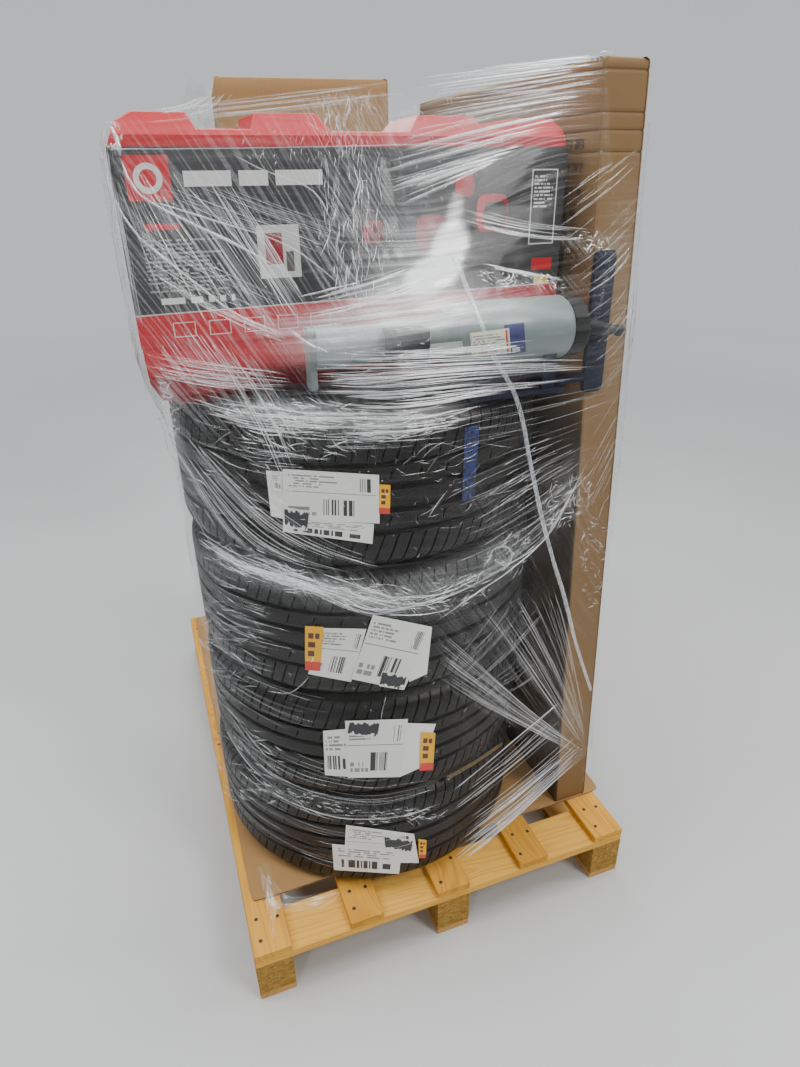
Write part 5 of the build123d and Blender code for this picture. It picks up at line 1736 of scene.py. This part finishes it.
for path, w, o, sd in (
    ([(121, 158), (133, 184), (150, 201), (195, 225), (240, 247), (290, 275)], 3.2, 0.95, 1),
    ([(107, 160), (117, 200), (140, 235), (165, 257), (200, 285), (240, 315), (292, 336)], 3.4, 0.80, 2),
    ([(150, 200), (215, 222), (290, 250), (345, 292)], 2.2, 0.8, 3),
    ([(182, 184), (230, 232), (262, 270), (290, 320)], 1.8, 0.8, 4),
    ([(230, 155), (262, 172), (300, 186), (318, 200), (330, 222)], 1.8, 0.85, 5),
    ([(106, 150), (150, 151), (260, 150), (400, 147), (520, 144)], 1.6, 0.75, 6),
    ([(290, 330), (312, 345), (330, 352)], 3.0, 0.8, 7),
    ([(112, 128), (118, 142), (122, 158)], 5.0, 0.75, 8),
):
    ph_, z_ = hit(smooth_line(path, 40))
    up.strip(np.unwrap(ph_), z_, w * MM_PX / 1000, o, 0.0078, 0.0022, seed=sd)
family(up, [[(300, 300), (360, 287), (415, 268)], [(300, 335), (370, 322), (450, 298)]], 22, (0.9, 2.6), (0.3, 0.8), (0.3, 0.8), 7)
family(up, [
    [(302, 345), (380, 350), (470, 345), (520, 338)], [(300, 362), (380, 362), (480, 358), (600, 355)],
    [(300, 378), (380, 376), (480, 368), (605, 362)], [(310, 392), (390, 392), (480, 384), (606, 376)],
    [(330, 405), (400, 408), (470, 398), (560, 380)],
], 92, (0.6, 2.2), (0.35, 1.0), (0.2, 0.7), 8)
family(up, [[(455, 208), (520, 222), (590, 232)], [(455, 225), (520, 240), (590, 243)]], 12, (0.8, 2.4), (0.2, 0.6), (0.4, 0.9), 9)
family(up, [[(500, 272), (540, 277), (572, 284)], [(460, 262), (500, 272), (545, 280)]], 9, (0.8, 2.2), (0.4, 0.8), (0.4, 0.9), 10)
family(up, [
    [(545, 205), (590, 175), (640, 135)], [(550, 240), (600, 200), (643, 160)], [(575, 300), (610, 270), (640, 230)],
    [(590, 360), (612, 340), (636, 310)], [(585, 470), (605, 430), (622, 400)], [(580, 560), (600, 520), (612, 490)],
], 60, (0.35, 1.0), (0.18, 0.62), (0.25, 0.8), 11)
family(up, [[(150, 112), (190, 104), (222, 78), (236, 71)], [(190, 118), (215, 110), (235, 85), (245, 74)]], 18, (0.8, 3.0), (0.25, 0.7), (0.4, 1.0), 12)
family(up, [[(104, 140), (110, 200), (122, 270), (134, 330)], [(112, 150), (124, 210), (136, 270), (150, 340)]], 26, (0.7, 2.2), (0.25, 0.65), (0.25, 0.8), 13)
shards(up, 350, 205, 36, 108, -4, 150, 88, 12, (9, 30), (0.45, 1.2), (0.7, 1.0), 20)
shards(up, 352, 118, 46, 22, 0, 46, 66, 28, (6, 22), (0.4, 1.0), (0.4, 1.0), 21)
family(up, [[(138, 348), (200, 360), (290, 371)], [(150, 372), (210, 384), (300, 392)]], 50, (0.4, 1.2), (0.3, 0.9), (0.2, 0.7), 14, wander=1.0)
family(up, [[(150, 330), (172, 362), (196, 390)], [(220, 325), (246, 358), (276, 392)]], 34, (0.35, 0.9), (0.35, 0.95), (0.3, 0.9), 15, wander=1.0)
shards(up, 300, 150, 60, 20, 0, 40, 96, 20, (4, 12), (0.6, 1.4), (0.3, 0.8), 22)
shards(up, 430, 150, 34, 60, 0, 40, 60, 40, (4, 12), (0.6, 1.4), (0.3, 0.8), 23)
shards(up, 520, 283, 52, 8, 4, 60, 10, 40, (4, 14), (0.7, 2.0), (0.4, 0.9), 24)
shards(up, 588, 244, 20, 10, 10, 30, 20, 50, (4, 12), (0.7, 2.0), (0.4, 0.9), 25)
shards(up, 240, 74, 16, 6, 0, 26, 20, 60, (4, 12), (0.8, 2.6), (0.4, 0.9), 26)
shards(up, 116, 138, 7, 16, 0, 24, 60, 50, (4, 12), (0.8, 2.6), (0.4, 0.9), 27)
shards(up, 600, 57, 22, 5, -10, 26, 20, 60, (4, 10), (0.6, 1.6), (0.4, 0.9), 28)
shards(up, 380, 330, 70, 40, -10, 60, 150, 40, (4, 14), (0.6, 1.4), (0.3, 0.8), 29)

low = Folds()
family(low, [
    [(400, 430), (450, 415), (520, 400), (610, 382)], [(400, 460), (460, 440), (530, 425), (612, 400)],
    [(420, 500), (480, 470), (540, 445), (605, 420)], [(440, 530), (500, 500), (550, 470), (600, 440)],
    [(440, 560), (500, 530), (550, 500), (598, 460)], [(380, 610), (450, 590), (510, 560), (560, 515), (590, 470)],
], 74, (0.4, 1.1), (0.18, 0.75), (0.15, 0.6), 41, wander=1.6)
family(low, [
    [(166, 425), (190, 470), (225, 530), (262, 560), (320, 580)], [(172, 420), (205, 470), (250, 525), (300, 555), (370, 575)],
    [(180, 415), (220, 455), (270, 500), (330, 540), (400, 565)], [(168, 440), (185, 490), (215, 545), (245, 565)],
], 56, (0.45, 1.4), (0.22, 0.85), (0.25, 0.8), 42, wander=2.0)
family(low, [
    [(170, 375), (230, 392), (300, 402)], [(175, 395), (240, 410), (310, 420)], [(190, 420), (250, 440), (320, 452)],
    [(200, 450), (260, 470), (330, 474)], [(330, 440), (390, 436), (470, 430)],
], 32, (0.45, 1.5), (0.15, 0.60), (0.2, 0.6), 43)
family(low, [[(200, 345), (245, 415), (275, 470)], [(245, 340), (280, 395), (300, 430)], [(215, 345), (262, 430), (300, 520)]], 22, (0.7, 1.5), (0.4, 0.9), (0.4, 1.0), 44)
family(low, [
    [(430, 620), (480, 665), (530, 710), (583, 750)], [(430, 655), (480, 690), (530, 722), (583, 752)],
    [(432, 675), (480, 705), (530, 730), (582, 756)],
], 46, (0.38, 0.9), (0.28, 0.85), (0.35, 1.0), 45, wander=0.9)
family(low, [
    [(470, 600), (510, 650), (550, 705), (584, 748)], [(510, 585), (540, 640), (565, 695), (585, 745)],
    [(550, 575), (565, 630), (577, 690), (586, 740)],
], 50, (0.38, 0.9), (0.28, 0.80), (0.35, 1.0), 46, wander=1.0)
family(low, [[(500, 590), (470, 630), (440, 665)], [(545, 600), (500, 650), (455, 690)], [(575, 640), (530, 680), (480, 705)]], 30, (0.35, 0.8), (0.2, 0.6), (0.3, 0.9), 47)
family(low, [
    [(440, 800), (500, 752), (560, 697)], [(460, 830), (520, 785), (580, 735)], [(450, 858), (510, 812), (583, 745)],
    [(440, 875), (500, 828), (583, 752)],
], 64, (0.6, 2.3), (0.40, 1.0), (0.3, 0.95), 48, wander=0.8)
family(low, [
    [(208, 640), (240, 665), (300, 690), (360, 698)], [(214, 690), (245, 720), (300, 752), (360, 768), (430, 765)],
    [(222, 745), (262, 785), (320, 812), (380, 818), (440, 800)], [(228, 790), (265, 830), (320, 858), (380, 868), (430, 862)],
], 60, (0.5, 1.5), (0.12, 0.50), (0.15, 0.55), 49)
family(low, [[(205, 560), (225, 575), (262, 590)], [(206, 600), (240, 625), (300, 640)], [(207, 640), (240, 668), (300, 690)]], 36, (0.6, 1.8), (0.12, 0.5), (0.25, 0.8), 50)
family(low, [[(228, 700), (262, 745), (300, 778)], [(222, 720), (250, 765), (290, 800)]], 12, (0.8, 2.4), (0.2, 0.6), (0.4, 0.9), 51)
for path, w, o, sd in (
    ([(448, 790), (500, 747), (560, 697)], 1.5, 1.0, 61),
    ([(229, 561), (262, 568), (300, 582), (340, 594), (372, 611)], 2.6, 0.75, 62),
    ([(372, 612), (410, 604), (455, 590), (505, 563), (545, 533), (585, 458)], 3.0, 0.75, 63),
    ([(428, 623), (478, 588), (507, 568), (543, 534), (587, 456)], 2.4, 0.7, 64),
    ([(262, 783), (300, 802), (345, 815), (400, 813), (440, 800)], 3.2, 0.55, 65),
    ([(168, 398), (172, 414), (163, 423), (168, 440), (182, 462), (192, 500)], 4.2, 0.6, 66),
    ([(383, 612), (420, 612), (450, 606)], 1.8, 0.9, 67),
    ([(428, 878), (470, 850), (498, 829), (540, 792), (582, 753)], 2.4, 0.8, 68),
    ([(245, 880), (300, 886), (360, 888), (410, 884), (428, 878)], 2.2, 0.5, 69),
    ([(386, 690), (381, 712), (383, 722)], 1.0, 0.7, 70),
    ([(268, 688), (290, 690), (303, 682), (312, 672)], 2.0, 0.5, 71),
):
    ph_, z_ = hit(smooth_line(path, 44))
    low.strip(np.unwrap(ph_), z_, w * MM_PX / 1000, o, 0.0080, 0.0020, seed=sd)
shards(low, 300, 412, 72, 15, 2, 96, 12, 22, (6, 22), (0.5, 1.7), (0.6, 1.0), 80)
shards(low, 405, 424, 60, 12, -10, 60, -12, 20, (6, 24), (0.5, 1.6), (0.6, 1.0), 81)
family(low, [
    [(186, 388), (240, 403), (300, 409), (360, 411), (420, 410), (485, 398)], [(196, 402), (250, 417), (310, 423), (370, 425), (430, 423), (492, 411)],
    [(210, 418), (262, 431), (320, 437), (380, 437), (440, 430)],
], 60, (0.5, 2.6), (0.30, 1.0), (0.10, 0.45), 57, wander=1.8)
family(low, [
    [(186, 514), (222, 545), (262, 561), (320, 577), (372, 603)], [(206, 548), (262, 574), (320, 590), (372, 611), (430, 606)],
    [(296, 560), (350, 580), (400, 596), (455, 588), (505, 560)],
], 84, (0.5, 2.8), (0.30, 1.0), (0.10, 0.45), 58, wander=1.8)
shards(low, 172, 410, 8, 32, -14, 60, 60, 50, (4, 14), (0.7, 2.6), (0.3, 0.85), 82)
shards(low, 340, 586, 100, 15, 10, 120, 13, 20, (5, 22), (0.5, 1.6), (0.6, 1.0), 83)
shards(low, 250, 558, 46, 14, 16, 42, 24, 22, (5, 20), (0.5, 1.5), (0.4, 0.95), 84)
shards(low, 455, 588, 40, 16, -16, 44, -24, 22, (5, 20), (0.5, 1.6), (0.4, 1.0), 85)
shards(low, 505, 552, 26, 20, -30, 40, -40, 26, (5, 18), (0.5, 1.6), (0.4, 1.0), 86)
shards(low, 562, 500, 30, 22, -36, 90, -42, 34, (4, 16), (0.6, 2.0), (0.35, 0.9), 87)
shards(low, 590, 560, 14, 50, 0, 60, 60, 60, (3, 10), (0.6, 1.6), (0.3, 0.85), 88)
shards(low, 300, 796, 60, 10, 12, 60, 16, 20, (4, 14), (0.6, 2.0), (0.3, 0.8), 89)
shards(low, 400, 813, 44, 8, -4, 46, -4, 20, (4, 14), (0.6, 2.0), (0.3, 0.8), 90)
shards(low, 235, 470, 60, 50, 30, 46, 24, 26, (8, 30), (0.5, 1.2), (0.3, 0.9), 93)
shards(low, 300, 440, 60, 16, 0, 50, 10, 26, (8, 26), (0.5, 1.4), (0.3, 0.9), 94)
shards(low, 235, 640, 34, 60, 10, 70, 14, 20, (8, 30), (0.5, 1.3), (0.3, 0.8), 95)
shards(low, 250, 760, 34, 40, 24, 40, 24, 18, (8, 26), (0.4, 1.1), (0.3, 0.8), 96)
shards(low, 470, 470, 70, 60, -20, 46, -26, 18, (10, 40), (0.45, 1.1), (0.25, 0.8), 97)
shards(low, 400, 640, 120, 200, 0, 90, 10, 60, (2, 7), (0.5, 1.2), (0.25, 0.7), 91)
shards(low, 330, 480, 120, 60, 0, 60, 10, 60, (2, 8), (0.5, 1.2), (0.25, 0.7), 92)

# round the sides and the back the same film: long level pleats, and a few steep ones
r_ = np.random.default_rng(404)
for j in range(330):
    p0 = r_.uniform(math.radians(-16), math.radians(190))
    zt0, zb0 = float(z_top(np.array([p0]))[0]), float(z_bot(np.array([p0]))[0])
    steep = r_.random() < 0.22
    ln = r_.uniform(0.10, 0.62)
    slope = r_.choice([-1, 1]) * r_.uniform(0.5, 1.3) if steep else r_.normal(0.05, 0.09)
    dphi = ln * (0.45 if steep else 1.0) * r_.choice([-1, 1])
    t = np.linspace(0, 1, 26)
    ph_ = p0 + dphi * t
    z_ = r_.uniform(zb0, zt0) + slope * abs(dphi) * 0.5 * t + 0.008 * np.sin(t * math.pi) * r_.normal()
    hi_, lo_ = z_top(ph_) - 0.004, z_bot(ph_) + 0.004
    if (z_ > hi_).any() or (z_ < lo_).any():
        continue
    wd = math.exp(r_.uniform(math.log(0.0010), math.log(0.0050)))
    low.strip(ph_, z_, wd, r_.uniform(0.15, 0.6), 0.0062, 0.0014, seed=500 + j)

MAT_FOLD_GLINT = folds_glints_material("film_doubled_painted_glints")
finish_folds(up, "film_pleats_upper", MAT_FOLD_GLINT)
finish_folds(low, "film_pleats_lower", MAT_FOLD_GLINT)


# ------------------------------------------------- rolled strand and tail
def rope(name, path, radius, off, mat, turns=9.0, seed=0, n=150, m=12):
    """The film's edge rolled into a loose strand that lies on the wrap."""
    ph_, z_ = hit(smooth_line(path, n))
    ph_ = np.unwrap(ph_)
    for _ in range(6):
        ph_[1:-1] = (ph_[:-2] + 2 * ph_[1:-1] + ph_[2:]) / 4
        z_[1:-1] = (z_[:-2] + 2 * z_[1:-1] + z_[2:]) / 4
    P, N = wrap_point(ph_, z_), wrap_normal(ph_, z_)
    T = np.gradient(P, axis=0)
    T /= np.linalg.norm(T, axis=1)[:, None]
    B = np.cross(N, T)
    t = np.linspace(0, 1, n)
    rr = radius * (0.80 + 0.4 * value_noise(t * 5, t * 0 + seed, 5 + seed))
    V = []
    for k in range(n):
        for a in range(m):
            th = 2 * math.pi * a / m
            lobe = 1 + 0.16 * math.sin(3 * th + turns * 2 * math.pi * t[k]) + 0.06 * math.sin(7 * th - 15 * t[k])
            x, y = rr[k] * lobe * math.cos(th) * 1.5, rr[k] * lobe * math.sin(th) * 0.62
            V.append(P[k] + N[k] * (off + rr[k] * 0.6 + y) + B[k] * x)
    faces = [tuple(q) for q in grid_faces(m, n, wrap_u=True)]
    faces.append(tuple(range(m - 1, -1, -1)))
    faces.append(tuple((n - 1) * m + a for a in range(m)))
    ob = mesh_piece(name, V, faces, [mat])
    see_through(ob)
    return settle(ob)


def strand_material():
    s = Shader("film_rolled")
    n = s.noise(s.map(s.obj(), scale=(1, 1, 0.12)), scale=420.0, detail=2.0)
    lw = s.node("LayerWeight")
    lw.inputs["Blend"].default_value = 0.5
    a = s.math("ADD", s.math("MULTIPLY", s.math("POWER", lw.outputs["Facing"], 1.6), 0.45), s.math("MULTIPLY", s.step(n, 0.40, 0.66), 0.26))
    s.set(Base_Color=(0.84, 0.88, 0.93), Alpha=s.math("ADD", a, 0.07, clamp=True), Metallic=0.25, Roughness=0.24)
    s.set(Normal=s.bump(n, 0.4, 0.0012))
    return s.m


MAT_ROPE = strand_material()
rope("film_strand", [(452, 258), (462, 285), (476, 318), (487, 347), (497, 365), (510, 389), (519, 418), (525, 450), (532, 486), (539, 520), (550, 560), (561, 595), (571, 634), (580, 664), (588, 688)], 0.0024, 0.007, MAT_ROPE, 3.0)
rope("film_loop", [(484, 560), (488, 550), (495, 545), (503, 545), (508, 551), (506, 560), (499, 563), (491, 558)], 0.0010, 0.009, MAT_ROPE, 3.0, 2, n=70)


def film_tail(name, path, width, level, seed):
    """Loose end of the film, crumpled down on the deck."""
    n, m = 60, 19
    c = smooth_line(path, n)
    d = rays(c)
    zz = np.interp(np.linspace(0, 1, n), np.linspace(0, 1, len(level)), level)
    P = EYE + ((zz - EYE[2]) / d[:, 2])[:, None] * d
    T = np.gradient(P, axis=0)
    T[:, 2] = 0
    T /= np.linalg.norm(T, axis=1)[:, None]
    B = np.stack([-T[:, 1], T[:, 0], np.zeros(n)], 1)
    t = np.linspace(0, 1, n)
    j = np.linspace(-0.5, 0.5, m)
    w = width * (0.45 + 0.9 * value_noise(t * 5, t * 0 + seed, seed)) * smoothstep(0, 0.08, 1.02 - t)
    V, op = [], []
    for k in range(n):
        wob = value_noise(j * 5 + seed, np.full(m, t[k] * 9), seed + 1) - 0.5
        up_ = 0.0010 + 0.0060 * ridge(j * 4.2, np.full(m, t[k] * 5.0), seed + 2) * (1 - np.abs(j) * 1.2)
        q = P[k] + B[k] * ((j + 0.10 * wob) * w[k])[:, None]
        q[:, 2] += up_
        V += [tuple(x) for x in q]
        op += list(0.02 + 0.36 * ridge(j * 7 + 3, np.full(m, t[k] * 3.0), seed + 3) ** 1.5)
    ob = mesh_piece(name, V, [tuple(q) for q in grid_faces(m, n)], [MAT_FOLD_GLINT], extra={"op": op})
    see_through(ob)
    return settle(ob)


tail_a = film_tail("film_tail", [(262, 866), (270, 884), (277, 899), (290, 905), (312, 903), (340, 893)], 0.030, [0.1335, 0.1335, 0.1270, 0.1225, 0.1225, 0.1300], 61)
tail_b = film_tail("film_scrap", [(262, 876), (270, 893), (272, 915), (274, 940)], 0.016, [0.1335, 0.1335, 0.1240, 0.1225], 67)
